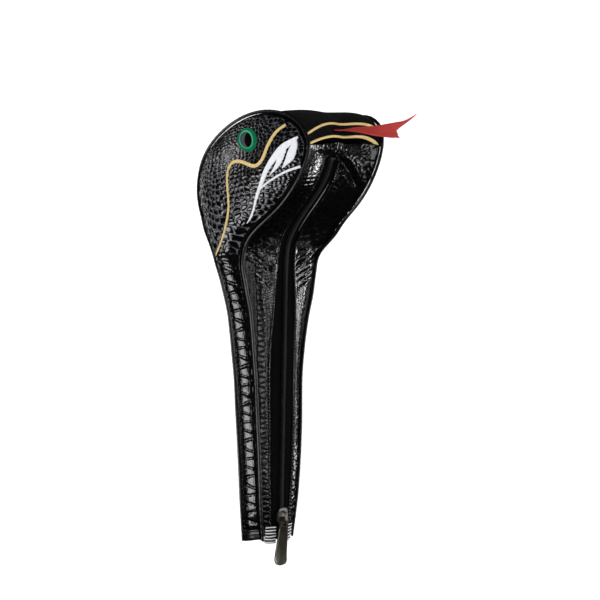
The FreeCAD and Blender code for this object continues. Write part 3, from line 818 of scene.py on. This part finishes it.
# Folds of each front strip, from one place to another as height and distance from
# the centre line, with width and depth; and its puffs, with their reach and height.
STRIP_FOLDS = {
    "right": [((268, 38), (254, 20), 2.6, 1.0), ((250, 34), (238, 18), 2.2, 0.7)],
    "left": [((349, 8), (329, 36), 3.2, 3.0), ((283, 44), (262, 14), 3.0, 1.8),
             ((262, 40), (252, 16), 1.7, 0.9), ((256, 42), (247, 18), 1.7, 0.8),
             ((250, 42), (241, 20), 1.7, 0.7)],
}
STRIP_PUFFS = {"right": [(253, 15, 11, 4.5, 1.9), (320, 20, 16, 9, 0.8)],
               "left": [(273, 27, 8, 6, 2.2), (282, 38, 4, 4, 1.2), (335, 24, 9, 7, 0.9)]}


def make_front_gusset():
    """The two snakeskin strips beside the zipper, their inner edges folded under."""
    def near(z):
        return -half_width(z) + SEAM_INSET

    def far(z):
        return -profile(ZIPPER_GAP, z)

    run, y = gusset_grid(level(front_run(ELASTIC_TOP - 1)), lip_run(LOWER_LIP, -0.3), near, far,
                         *FRONT_GRID)
    z = height_at(run)
    to_zipper, to_piping = far(z) - y, y - near(z)
    relief, tone = skin_relief(y, run, 0.58 * near(z) + 0.42 * far(z), 4.3, 4.8,
                               smooth_step(250, 285, run))
    tame = smooth_step(0.6, 2.4, to_zipper) * smooth_step(0.8, 2.6, to_piping)
    lift = relief * (0.55 - 0.3 * smooth_step(262, 290, run)) * tame
    seam = np.clip(to_zipper, 0, 4)
    drop = FOLD_ROLL - np.sqrt(FOLD_ROLL ** 2 - (FOLD_ROLL - np.minimum(seam, FOLD_ROLL)) ** 2 + 1e-9)
    lift -= 0.75 * drop * smooth_step(354, 346, z)
    lift += 0.8 * bell(seam, 2.2, 1.0) * (0.65 + 0.35 * np.cos(FULL_TURN * run / BEAD_PITCH))
    lift -= seam_dip(to_piping, 0.9, 2.6)
    lift += 0.45 * ripple(run * 0.06, y * 0.1, 1.0) * smooth_step(0.5, 6, to_piping)
    inner = smooth_step(0.5, 5, to_zipper)
    for side, mirror in SIDES:
        folded = lift.copy()
        for start, end, width, depth in STRIP_FOLDS[side]:
            places = [(front_run(height), -away) for height, away in (start, end)]
            folded += crease(run, y, *places, width, depth) * inner
        for height, away, along, across, rise in STRIP_PUFFS[side]:
            folded += rise * inner * bell(run, front_run(height), along) * bell(y, -away, across)
        # 0.4 + 0.6 * tone goes to the relief attribute: it keeps these strips' grooves dark, with almost no
        # painted highlight.
        gusset_piece(side + "_front_skin", run, y, folded, "snakeskin", side + "_front_gusset",
                     0.4 + 0.6 * tone, mirror)


def make_back_gusset():
    seam = back_run(CROWN_SEAM_HEIGHT)
    run, y, z, to_piping = whole_gusset(level(seam - 0.3), level(edge_length), *BACK_GRID)
    relief, tone = skin_relief(y, z, 0.0, 8.5, 9.5, smooth_step(262, 290, z))
    lift = relief * 0.8 * smooth_step(0.8, 3.0, to_piping) - seam_dip(to_piping, 0.9, 2.6)
    lift += 0.6 * ripple(z * 0.05, y * 0.06, 3.0) * smooth_step(1, 10, to_piping)
    lift -= 0.5 * bell(run, seam, 1.2)
    # 0.3 + 0.7 * tone goes to the relief attribute: the back's grooves get a fainter painted highlight than
    # the head of the side panels.
    gusset_piece("back_skin", run, y, lift, "snakeskin", "back_gusset", 0.3 + 0.7 * tone)


def make_crown():
    seam = back_run(CROWN_SEAM_HEIGHT)
    run, y, _, to_piping = whole_gusset(lip_run(UPPER_LIP), level(seam), *CROWN_GRID)
    lift = -seam_dip(to_piping, 0.9, 3.0)
    lift += 0.9 * ripple(run * 0.05, y * 0.07, 6.0) * smooth_step(1, 12, to_piping)
    lift += 0.12 * pebbles(run / 1.6, y / 1.6) - 0.5 * bell(run, seam, 1.2)
    gusset_piece("crown_cloth", run, y, lift, "crown_fabric", "crown_gusset")


def make_mouth():
    """The dark strip between the lips, with the slit that the tongue comes out of."""
    run, y, _, to_piping = whole_gusset(lip_run(LOWER_LIP), lip_run(UPPER_LIP), *MOUTH_GRID)
    u = np.linspace(0, 1, len(run))[:, None]
    lift = -0.7 * np.sin(math.pi * u) * smooth_step(0, 8, to_piping)
    lift -= 3.0 * bell(u, 0.42, 0.14) * smooth_step(12, 6, np.abs(y))
    lift += 0.15 * ripple(run * 0.3, y * 0.15, 2.0)
    gusset_piece("mouth_cloth", run, y, lift, "crown_fabric", "mouth_panel")


# ------------------------------------------------------------------ piping, cords, thread
def turns(count):
    return np.linspace(0, FULL_TURN, count, endpoint=False)


def tube_points(centres, first, second, radius, sides):
    """Rings of points round a line, in the plane of two unit directions."""
    turn = turns(sides)[:, None]
    ring = first[:, None, :] * np.cos(turn) + second[:, None, :] * np.sin(turn)
    return centres[:, None, :] + ring * np.reshape(radius, (-1, 1, 1))


def tube_part(rings):
    """Vertices and faces of a tube closed at both ends."""
    rows, sides = rings.shape[:2]
    vertices = np.concatenate([rings.reshape(-1, 3), rings[:1].mean(axis=1), rings[-1:].mean(axis=1)])
    quads = grid_faces(rows, sides, close_columns=True).tolist()
    first, last = rows * sides, rows * sides + 1
    for k in range(sides):
        quads.append([first, (k + 1) % sides, k, k])
        end = (rows - 1) * sides
        quads.append([last, end + k, end + (k + 1) % sides, end + (k + 1) % sides])
    return vertices, quads


def tube_mesh(name, parts):
    """One mesh of several tubes."""
    vertices, faces = merged(parts)
    return new_mesh(name, vertices, [list(dict.fromkeys(face)) for face in faces])


def make_piping():
    """A covered cord in each panel's seam, a little uneven where it is stitched."""
    run = np.linspace(-0.5, edge_length + 0.5, 1500)
    x, z, nx, nz, _ = edge_at(run)
    radius = PIPING_RADIUS * (1 + 0.035 * np.sin(run / 0.9) + 0.05 * ripple(run * 0.11, run * 0.03, 2.0))
    lift = PIPING_RADIUS + 0.05
    centre = joined(x + nx * lift, 0.1 - half_width(z), z + nz * lift)
    rings = tube_points(centre, gusset_outward(run), np.tile(-RIGHT, (len(run), 1)), radius, 14)

    def cord(name, mirror):
        mesh = tube_mesh(name, [tube_part(mirrored(rings, mirror))])
        if not mirror:
            mesh.flip_normals()
        return mesh

    finish_pair("_cord", "piping", "_piping", cord)


def on_side(path, step=0.5):
    """Points and outward normals of the right panel at (x, z) places."""
    x, z = path.T
    dx = side_point(x + step, z) - side_point(x - step, z)
    dz = side_point(x, z + step) - side_point(x, z - step)
    return side_point(x, z), unit(np.cross(dx, dz))


def on_gusset(path, step=0.5):
    """Points and outward normals of the gusset at (run, y) places."""
    run, y = path.T
    along = gusset_point(run + step, y) - gusset_point(run - step, y)
    across = gusset_point(run, y + step) - gusset_point(run, y - step)
    normal = unit(np.cross(across, along))
    sign = np.sign((normal * gusset_outward(run)).sum(axis=1, keepdims=True))
    return gusset_point(run, y), normal * sign


def resampled(points, step):
    """A smooth line through points, in even steps of about the given size."""
    dense = spline(points, 40 * len(points))
    length = travelled(dense)
    count = max(int(length[-1] / step), 8)
    return columns_at(np.linspace(0, length[-1], count), length, dense)


def satin(point, normal, half, height, sink=0.35, columns=13, pitch=0.55, slant=0.5):
    """A satin-stitched bar along a line: a rounded top crossed by single threads."""
    across = unit(np.cross(normal, unit(np.gradient(point, axis=0))))
    length = travelled(point)[:, None]
    a = np.linspace(-1, 1, columns)
    half, height = np.reshape(half, (-1, 1)), np.reshape(height, (-1, 1))
    thread = 0.5 + 0.5 * np.cos(FULL_TURN * (length / pitch + slant * a * half / pitch))
    top = height * np.sqrt(np.maximum(1 - np.abs(a) ** 2.6, 0)) * (0.9 + 0.1 * thread) - sink * np.abs(a) ** 6
    shell = (point[:, None, :] + across[:, None, :] * (a * half)[..., None]
             + normal[:, None, :] * top[..., None])
    return shell, joined(length, a * half)


def satin_mesh(name, bars, mirror=False):
    """One mesh of several satin bars, with thread-direction UVs."""
    mesh = new_mesh(name, *merged([(mirrored(shell, mirror).reshape(-1, 3),
                                    grid_faces(*shell.shape[:2], flip=not mirror))
                                   for shell, _ in bars]))
    add_uv(mesh, np.concatenate([uv.reshape(-1, 2) for _, uv in bars]))
    return mesh


def finish_satin(name, slot, node, bars, finish=None):
    """Satin bars on both side panels."""
    finish_pair(name, slot, node, lambda made, mirror: satin_mesh(made, bars, mirror), finish)


def side_bar(stations, height=0.85, **shape):
    """A satin bar on the right panel through (x, z, half width) stations."""
    line = resampled(stations, 0.28)
    point, normal = on_side(line[:, :2])
    half = np.maximum(line[:, 2], 0.12)
    return satin(point + normal * 0.25, normal, half, np.minimum(height, 0.35 + half * 0.7), **shape)


GOLD_LINE = [(72.4, 376.6), (68.0, 374.0), (63.4, 369.1), (60.4, 363.2), (57.6, 357.0), (55.4, 351.0),
             (52.0, 345.6), (46.6, 342.6), (40.0, 343.9), (32.6, 346.9), (24.8, 348.9), (17.9, 348.4),
             (13.6, 344.4), (12.2, 339.5), (12.0, 332.0), (12.8, 321.0), (13.2, 313.0), (12.2, 305.0),
             (10.3, 296.5), (5.3, 286.3), (-1.5, 275.8), (-9.7, 266.7)]
QUILL = [(86.6, 364.4, 0.9), (84.0, 362.6, 1.9), (79.0, 359.6, 3.0), (73.0, 355.4, 3.8),
         (68.0, 350.4, 3.6), (63.5, 345.6, 3.1), (59.4, 340.4, 2.75), (55.8, 335.2, 2.45),
         (52.8, 330.0, 2.2), (49.9, 324.9, 1.95), (47.1, 320.2, 1.7), (44.1, 315.2, 1.5),
         (41.0, 309.6, 1.3), (37.8, 303.8, 1.1), (33.5, 297.9, 0.9), (28.6, 293.3, 0.3)]
MIDDLE_LOBE = [(76.6, 360.0, 1.2), (74.9, 356.0, 2.6), (73.2, 351.4, 3.1), (71.2, 346.6, 3.0),
               (68.7, 342.2, 2.4), (65.0, 337.9, 1.5), (60.1, 333.0, 0.3)]
FRONT_LOBE = [(84.0, 362.6, 1.4), (84.2, 359.4, 2.6), (83.0, 354.4, 3.9), (81.2, 349.5, 4.2),
              (78.4, 345.1, 3.1), (75.3, 341.6, 1.7), (72.3, 338.4, 0.3)]
WHISKER = [(88.0, 338.9, 1.2), (80.9, 337.1, 1.15), (73.2, 334.7, 1.1), (65.0, 331.1, 1.0),
           (57.7, 327.5, 1.0), (50.4, 323.0, 0.9)]


def make_gold_line():
    widths = np.interp(np.arange(len(GOLD_LINE)), [0, 2, 8, 14, 21], [1.4, 1.75, 1.75, 1.45, 0.95])
    bar = side_bar(np.column_stack([GOLD_LINE, widths]), height=0.9)
    finish_satin("_gold_thread", "gold_thread", "_gold_line", [bar])


def make_fang():
    bars = [side_bar(QUILL, height=1.0, slant=1.2), side_bar(MIDDLE_LOBE, height=0.9, slant=-0.8),
            side_bar(FRONT_LOBE, height=0.95, slant=-0.8), side_bar(WHISKER, height=0.9)]
    finish_satin("_fang_thread", "white_thread", "_fang", bars)


EYE = (32.1, 367.7)
EYE_ACROSS, EYE_UP = (10.15, -0.6), (-5.0, 10.2)
# The grey and the black patch inside the ring: centre, and the two half axes.
EYE_GREY = (EYE, (8.2, -0.5), (-3.9, 8.2))
PUPIL = ((34.5, 367.4), (5.0, -0.3), (-2.9, 7.6))


def leaning_ellipse(centre, across, up, turn, share=1.0):
    """x and z round an ellipse given by its two half axes, which needn't be square."""
    return joined(*(centre[k] + share * (across[k] * np.cos(turn) + up[k] * np.sin(turn)) for k in (0, 1)))


def disc(centre, across, up, height, rings=14, count=56):
    """A slightly domed patch of thread on the right panel."""
    turn = np.linspace(0, FULL_TURN, count + 1)
    r = np.linspace(0.02, 1, rings)[:, None]
    path = leaning_ellipse(centre, across, up, turn, r)
    point, normal = (part.reshape(rings, count + 1, 3) for part in on_side(path.reshape(-1, 2)))
    top = np.where(r >= 1, -0.2, 0.2 + height * np.sqrt(np.maximum(1 - r ** 4, 0)))
    return point + normal * top[..., None], path


def make_eyes():
    turn = np.linspace(0, FULL_TURN, 200)
    point, normal = on_side(leaning_ellipse(EYE, EYE_ACROSS, EYE_UP, turn))
    broad = 2.0 + 0.3 * np.cos(2 * turn) + 0.45 * np.cos(turn)
    outer = satin(point + normal * 0.3, normal, broad, 0.95, slant=0.2)
    # A thin bright green ring just inside the eye's ring, wider toward the front and top: a painted highlight
    # on the ring's inner edge.
    point, normal = on_side(leaning_ellipse(EYE, EYE_ACROSS, EYE_UP, turn, 0.82))
    highlight_half_width = 0.45 + 0.3 * smooth_step(-0.6, 0.9, np.cos(turn - 0.5))
    inner = satin(point + normal * 1.0, normal, highlight_half_width, 0.55, slant=0.2)
    grey = disc(*EYE_GREY, 0.35)
    black = disc(*PUPIL, 0.75)
    for name, slot, node, bar, finish in (
            ("_eye_outer", "green_thread", "_eye_ring", outer, None),
            ("_eye_inner", "green_thread", None, inner, "bright_green_thread"),
            ("_eye_white", "black_thread", None, grey, "grey_thread"),
            ("_pupil", "black_thread", "_eye_pupil", black, None)):
        finish_satin(name, slot, node, [bar], finish)


def make_lips():
    """The two gold lines over the gusset, from piping to piping."""
    share = np.linspace(-0.94, 0.94, 420)
    half = 0.95 * smooth_step(1.0, 0.9, np.abs(share) / 0.94) + 0.15
    for name, lip in (("lower_lip", LOWER_LIP), ("upper_lip", UPPER_LIP)):
        run = lip_run(lip)(share)
        point, normal = on_gusset(joined(run, share * half_width(height_at(run))))
        mesh = satin_mesh(name + "_thread", [satin(point + normal * 0.3, normal, half, 0.9)])
        finish_piece(name + "_thread", mesh, "cover", "gold_thread", [name + "_cord"])


def stitch_parts(point, normal, pitch=3.2, length=2.3, radius=0.3):
    """Separate stitches along a line: short bars that dive into the cloth at both ends."""
    run = travelled(point)
    parts = []
    t = np.linspace(-0.5, 0.5, 7)
    for start in np.arange(pitch / 2, run[-1] - pitch / 2, pitch):
        centre, up = (columns_at(start + t * length, run, table) for table in (point, normal))
        up = unit(up)
        across = unit(np.cross(up, unit(np.gradient(centre, axis=0))))
        centre = centre + up * (radius * (1.1 - 6 * t ** 2 * 1.1))[:, None]
        thickness = radius * np.sqrt(np.maximum(1 - (2.1 * t) ** 6 / 2.4, 0.1))
        parts.append(tube_part(tube_points(centre, up, across, thickness, 6)))
    return parts


def make_stitches():
    """Topstitching on both sides of the zipper."""
    run = np.linspace(front_run(ELASTIC_TOP + 1), front_run(STITCH_TOP), 900)
    y = -profile(ZIPPER_GAP, height_at(run)) - STITCH_AWAY
    point, normal = on_gusset(joined(run, y))
    parts = stitch_parts(point + normal * 0.18, normal)
    parts += [(mirrored(vertices), faces) for vertices, faces in parts]
    finish_piece("topstitch", tube_mesh("topstitch", parts), "cover", "piping")


# ------------------------------------------------------------------ zipper
def zipper_point(run, y, lift):
    """Points of the zipper: flat across the coil, then down under the gusset."""
    point, under = gusset_point(run, 0 * y, lift), gusset_point(run, y, lift)
    gap = np.maximum(profile(ZIPPER_GAP, height_at(run)), 7.5)
    share = smooth_step(6.2, gap, np.abs(y))[..., None]
    point[..., 1] = y
    return point * (1 - share) + under * share


def make_zipper_tape():
    run = np.linspace(0.2, front_run(ZIPPER_TOP), 420)[:, None]
    y = -(0.4 + (profile(ZIPPER_GAP, height_at(run)) + 2.5) * np.linspace(0, 1, 26))
    ridge = 0.16 * np.cos(np.abs(y) * FULL_TURN / 2.2) * smooth_step(3.4, 4.0, np.abs(y))
    points = zipper_point(run, y, -1.55 + ridge * 0.5 + 0.35 * bell(np.abs(y), 3.6, 0.45))
    finish_pair("_tape", "zipper_tape", "_zipper_tape", lambda name, mirror:
                gusset_mesh(name, points, run, y, mirror))


def make_zipper_coil():
    """Loops of nylon from each side that interlock on the centre line."""
    t = np.linspace(0, 1, 9)
    thick = COIL_RADIUS * (0.85 + 0.45 * bell(t, 1.0, 0.16))
    rise = -0.75 + 0.95 * np.sin(t * math.pi * 0.78) ** 0.8
    for side, sign, phase in (("right", -1.0, 0.0), ("left", 1.0, 0.5)):
        y = sign * (2.9 - 3.35 * np.sin(t * math.pi / 2) ** 1.2)
        parts = []
        for run in np.arange(4.0 + phase * COIL_PITCH, front_run(ZIPPER_TOP) - 2.0, COIL_PITCH):
            centre = zipper_point(run, y, rise)
            tangent = unit(np.gradient(centre, axis=0))
            along = unit(np.cross(tangent, gusset_outward(run)))
            parts.append(tube_part(tube_points(centre, unit(np.cross(along, tangent)), along, thick, 7)))
        mesh = tube_mesh(side + "_coil", parts)
        finish_piece(side + "_coil", mesh, "cover", "zipper_coil", [side + "_zipper_coil"])


# ------------------------------------------------------------------ hem
HEM_PROFILE = [(-0.2, 9.6), (0.5, 9.5), (1.15, 8.9), (1.3, 8.1), (0.95, 7.2), (1.25, 6.2),
               (1.35, 4.0), (1.35, 1.6), (1.2, 0.3), (0.6, -0.6), (-0.3, -0.95), (-1.3, -0.7),
               (-2.0, 0.1), (-2.3, 1.4), (-2.4, 6.0)]


def make_hem():
    """Binding folded over the lower edge of the side and back panels, with a sewn groove."""
    lift, height = (part[:, None] for part in spline(HEM_PROFILE, 46).T)
    a = np.linspace(-1, 1, 110)
    front, back = chord(np.maximum(height, 0))
    x = (front + back) / 2 - a * ((front - back) / 2 - 0.9)
    points = side_point(x, height, lift + 0.09 * ripple(x * 0.5, height * 0.5, 1.0))
    finish_pair("_binding", "hem_tape", "_hem_band", lambda name, mirror:
                grid_mesh(name, points, joined(x, height), mirror))
    run, y = edge_length - height, a * (half_width(0.0) - 1.6)
    points = gusset_point(run, y, lift + 0.09 * ripple(y * 0.5, height, 2.0))
    mesh = grid_mesh("back_binding", points, joined(y, run))
    finish_piece("back_binding", mesh, "cover", "hem_tape", ["back_hem_band"])


def make_elastic():
    """Black knitted ground with pale rubber-cored ribs across it."""
    low, high = -ELASTIC_DROP, ELASTIC_TOP
    run = np.linspace(low, high, 60)[:, None]
    reach = half_width(0.0) - 2.2
    y = -(ELASTIC_NEAR + (reach - ELASTIC_NEAR) * np.linspace(0, 1, 24))
    points = gusset_point(run, y, 0.25)
    finish_pair("_elastic", "elastic", "_hem_elastic", lambda name, mirror:
                gusset_mesh(name, points, run, y, mirror), "elastic_ground")
    across = np.linspace(-reach, -ELASTIC_NEAR, 60)
    ends = smooth_step(0, 0.8, across + reach + 0.2) * smooth_step(0, 0.8, -6.2 - across)
    ribs = []
    for rib in np.linspace(low + 1.2, high - 1.4, ELASTIC_RIBS):
        point, normal = on_gusset(joined(rib + 0.25 * ripple(across * 0.35, 0.0, rib), across))
        ribs.append(satin(point + normal * 0.4, normal, 0.15 + 0.4 * ends, 0.2 + 0.5 * ends,
                          pitch=0.9, slant=0.0))
    finish_satin("_elastic_ribs", "elastic", None, ribs)


# ------------------------------------------------------------------ inside
def make_inside():
    """Foam behind the panels and the fleece that lines them."""
    for name, depth, inset, low, slot, node, fluff in (
            ("_foam", SKIN + 0.2, 5.0, 14.0, "foam", "_foam_pad", 0.25),
            ("_fleece", SKIN + FOAM + LINING, 6.0, 6.0, "lining", "_lining", 0.5)):
        x, z = side_grid(*PAD_GRID, low, inset)
        points = side_point(x, z, -depth - fluff * pebbles(x / FLUFF_SIZE, z / FLUFF_SIZE, 5.0))
        pieces = finish_pair(name, slot, node, lambda made, mirror:
                             grid_mesh(made, points, joined(x, z), mirror, flip=True))
    seam = back_run(CROWN_SEAM_HEIGHT)
    for name, low, high in (("crown", front_run(384), seam - 1), ("back", seam + 1, edge_length - 12)):
        run, y, _, _ = whole_gusset(level(low), level(high), *FLEECE_GRID, inset=8.0)
        lift = -SKIN - LINING - 0.5 * pebbles(run / FLUFF_SIZE, y / FLUFF_SIZE, 2.0)
        gusset_piece(name + "_fleece", run, y, lift, "lining", name + "_lining")


# ------------------------------------------------------------------ tongue
TONGUE_LINE = [(88.0, 0.0, 376.2, 4.0), (92.0, 0.5, 376.0, 8.0), (108.0, 4.0, 374.6, 26.0),
               (127.0, 8.0, 371.4, 44.0), (146.0, 12.0, 370.0, 60.0)]
TONGUE_TIPS = [(156.4, 2.0, 360.7), (160.2, 24.0, 384.5)]
TONGUE_ROOT, TONGUE_FORK = 10.0, 17.0


def tongue_frame(u):
    """Centre, direction across and half width along the tongue to its notch."""
    line = columns_at(u, np.linspace(0, 1, 200), spline(TONGUE_LINE, 200))
    roll = np.radians(line[:, 3])
    half = (TONGUE_ROOT + (TONGUE_FORK - TONGUE_ROOT) * u) / 2
    return line[:, :3], joined(0.0, np.cos(roll), np.sin(roll)), half


TONGUE_COLUMNS, TONGUE_BODY = 9, 70


def tongue_half(side):
    """One half of the tongue, from the root to its own tip: rows of points from the
    middle line to the outer edge, TONGUE_BODY of them before the notch."""
    centre, across, half = tongue_frame(np.linspace(0, 1, TONGUE_BODY))
    outer = centre + across * (side * half)[:, None]
    notch, corner = centre[-1], outer[-1]
    tip = np.array(TONGUE_TIPS[0 if side < 0 else 1])
    t = np.linspace(0, 1, 31)[1:, None]
    belly = corner + unit(notch - centre[-8]) * 7.0
    inner = np.concatenate([centre, notch * (1 - t) + tip * t])
    outer = np.concatenate([outer, corner * (1 - t) ** 2 + 2 * belly * t * (1 - t) + tip * t ** 2])
    a = np.linspace(0, 1, TONGUE_COLUMNS)[:, None]
    return inner[:, None, :] * (1 - a) + outer[:, None, :] * a


def make_tongue():
    """Soft red leather, double and sewn, forked, and slightly cupped."""
    parts = []
    a = np.linspace(0, 1, TONGUE_COLUMNS)
    count = 2 * TONGUE_COLUMNS
    for side in (-1, 1):
        surface = tongue_half(side)
        rows = len(surface)
        u = np.linspace(0, 1, rows)[:, None]
        normal = outward(surface, np.array([0.0, 0.0, 1.0]))
        cup = (0.9 * a ** 2 + 0.5 * ripple(u * 9, side * a * 1.5, 3.0)) * smooth_step(0.0, 0.3, u)
        surface = surface + normal * cup[..., None]
        past = np.clip(np.arange(rows)[:, None] - (TONGUE_BODY - 1), 0, 4) / 4
        rim = np.maximum(a ** 10, past * (1 - a) ** 8)
        thick = 0.62 * np.sqrt(np.maximum(1 - rim, 0.06)) * (0.4 + 0.6 * smooth_step(1.0, 0.93, u))
        upper, lower = surface + normal * thick[..., None], surface - normal * thick[..., None]
        faces = [quad for k, quad in enumerate(grid_faces(rows, count, close_columns=True).tolist())
                 if not (k % count == count - 1 and k // count < TONGUE_BODY - 1)]
        for start in (0, (rows - 1) * count):
            faces += [[start + j, start + j + 1, start + count - 2 - j, start + count - 1 - j]
                      for j in range(TONGUE_COLUMNS - 1)]
        parts.append((np.concatenate([upper, lower[:, ::-1]], axis=1).reshape(-1, 3), faces))
    mesh = new_mesh("tongue_sheet", *merged(parts))
    work = bmesh.new()
    work.from_mesh(mesh)
    bmesh.ops.remove_doubles(work, verts=work.verts, dist=2e-6)
    bmesh.ops.recalc_face_normals(work, faces=work.faces)
    work.to_mesh(mesh)
    work.free()
    piece = finish_piece("tongue_sheet", mesh, "tongue", "tongue_leather", ["tongue"])


# ------------------------------------------------------------------ hardware
PULL_PIVOT = (20.944, 0.0, 20.492)
PULL_LENGTH, PULL_HALF, PULL_TOP_HALF, PULL_THICK, PULL_LEAN = 44.5, 7.5, 5.2, 0.9, 8.0
WINDOW_HALF, WINDOW_LONG = 2.3, 6.6


def pull_points(across, along, out):
    """Places on the pull: across it, along it from the pivot down, and out of its face."""
    lean = math.radians(PULL_LEAN)
    return joined(PULL_PIVOT[0] + out, across * math.cos(lean) - along * math.sin(lean),
                  PULL_PIVOT[2] - across * math.sin(lean) - along * math.cos(lean))


def pull_outline(turn):
    """A long drop: a narrow square-cornered top that widens to a round foot."""
    along = -PULL_THICK + (PULL_LENGTH + PULL_THICK) * (1 - np.cos(turn)) / 2
    share = np.clip(along / (PULL_LENGTH - PULL_HALF), 0, 1)
    half = PULL_TOP_HALF + (PULL_HALF - PULL_TOP_HALF) * share ** 1.2
    foot = np.clip((along - (PULL_LENGTH - PULL_HALF * 0.85)) / (PULL_HALF * 0.85), 0, 1)
    head = np.clip((1.6 - along - PULL_THICK) / 1.6, 0, 1)
    half = half * np.sqrt(np.maximum(1 - foot ** 2.2, 0)) * np.sqrt(np.maximum(1 - 0.5 * head ** 2, 0))
    return joined(np.sign(np.sin(turn)) * half, along)


def make_pull():
    """A flat die-cast tag with a window for the slider's bridge, and a rim of bright nickel along its edge
    below the window that swells at the two lower corners: a painted highlight on the tag's bevelled edges.
    """
    turn = turns(240)
    outer = pull_outline(turn)
    middle = WINDOW_LONG / 2 + PULL_THICK
    hole_across = WINDOW_HALF * np.clip(1.5 * np.sin(turn), -1, 1)
    hole_along = -WINDOW_LONG / 2 * np.clip(1.5 * np.cos(turn), -1, 1)
    heading = unit(np.roll(outer, -1, axis=0) - np.roll(outer, 1, axis=0))
    inward = joined(-heading[:, 1], heading[:, 0])
    inward *= np.sign(((np.array([0.0, 20.0]) - outer) * inward).sum(axis=1, keepdims=True))
    loops = [pull_points(*(outer + inward * inset).T, out)
             for inset, out in ((0.7, 0.72), (0.45, 0.9), (0.12, 0.75), (0.0, 0.45),
                                (0.0, -0.45), (0.12, -0.75), (0.45, -0.9))]
    loops += [pull_points(hole_across * (1 + grow / WINDOW_HALF),
                          middle + hole_along * (1 + grow / (WINDOW_LONG / 2)), out)
              for grow, out in ((0.4, -0.9), (0.0, -0.6), (0.0, 0.6), (0.4, 0.9), (0.9, 0.72))]
    faces = grid_faces(len(loops), len(turn), close_rows=True, close_columns=True)
    mesh = new_mesh("pull_tag", np.concatenate(loops), faces.tolist())
    finish_piece("pull_tag", mesh, "pull", "gunmetal", ["zipper_pull"])
    across, along = outer.T
    # The rim swells at the two lower corners, where its bright nickel is a painted highlight.
    corner = bell(np.abs(across), PULL_HALF * 0.86, 1.6) * (along > PULL_LENGTH - 8)
    keep = along > 10
    line = pull_points(*(outer + inward * 0.25)[keep].T, 0.75)
    up = np.tile([1.0, 0.0, 0.0], (len(line), 1))
    sideways = unit(np.cross(up, np.gradient(line, axis=0)))
    rim = tube_part(tube_points(line, up, sideways, 0.2 + 0.75 * corner[keep], 8))
    finish_piece("pull_rim_painted_highlight", tube_mesh("pull_rim_painted_highlight", [rim]), "pull", "nickel")


def make_hardware():
    """Plating on the CAD solids that are kept."""
    for node, finish in (("slider_body", "nickel"), ("slider_bridge", "nickel"),
                         ("zipper_bottom_stop", "nickel"), ("zipper_top_stop", "gunmetal")):
        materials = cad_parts[node].data.materials
        materials.clear()
        materials.append(MATERIALS[finish])


for make in (make_camera, make_materials, make_studio, make_floor, make_side_panels,
             make_front_gusset, make_back_gusset, make_crown, make_mouth, make_piping,
             make_gold_line, make_fang, make_eyes, make_lips, make_stitches, make_zipper_tape,
             make_zipper_coil, make_hem, make_elastic, make_inside, make_tongue, make_pull,
             make_hardware):
    make()
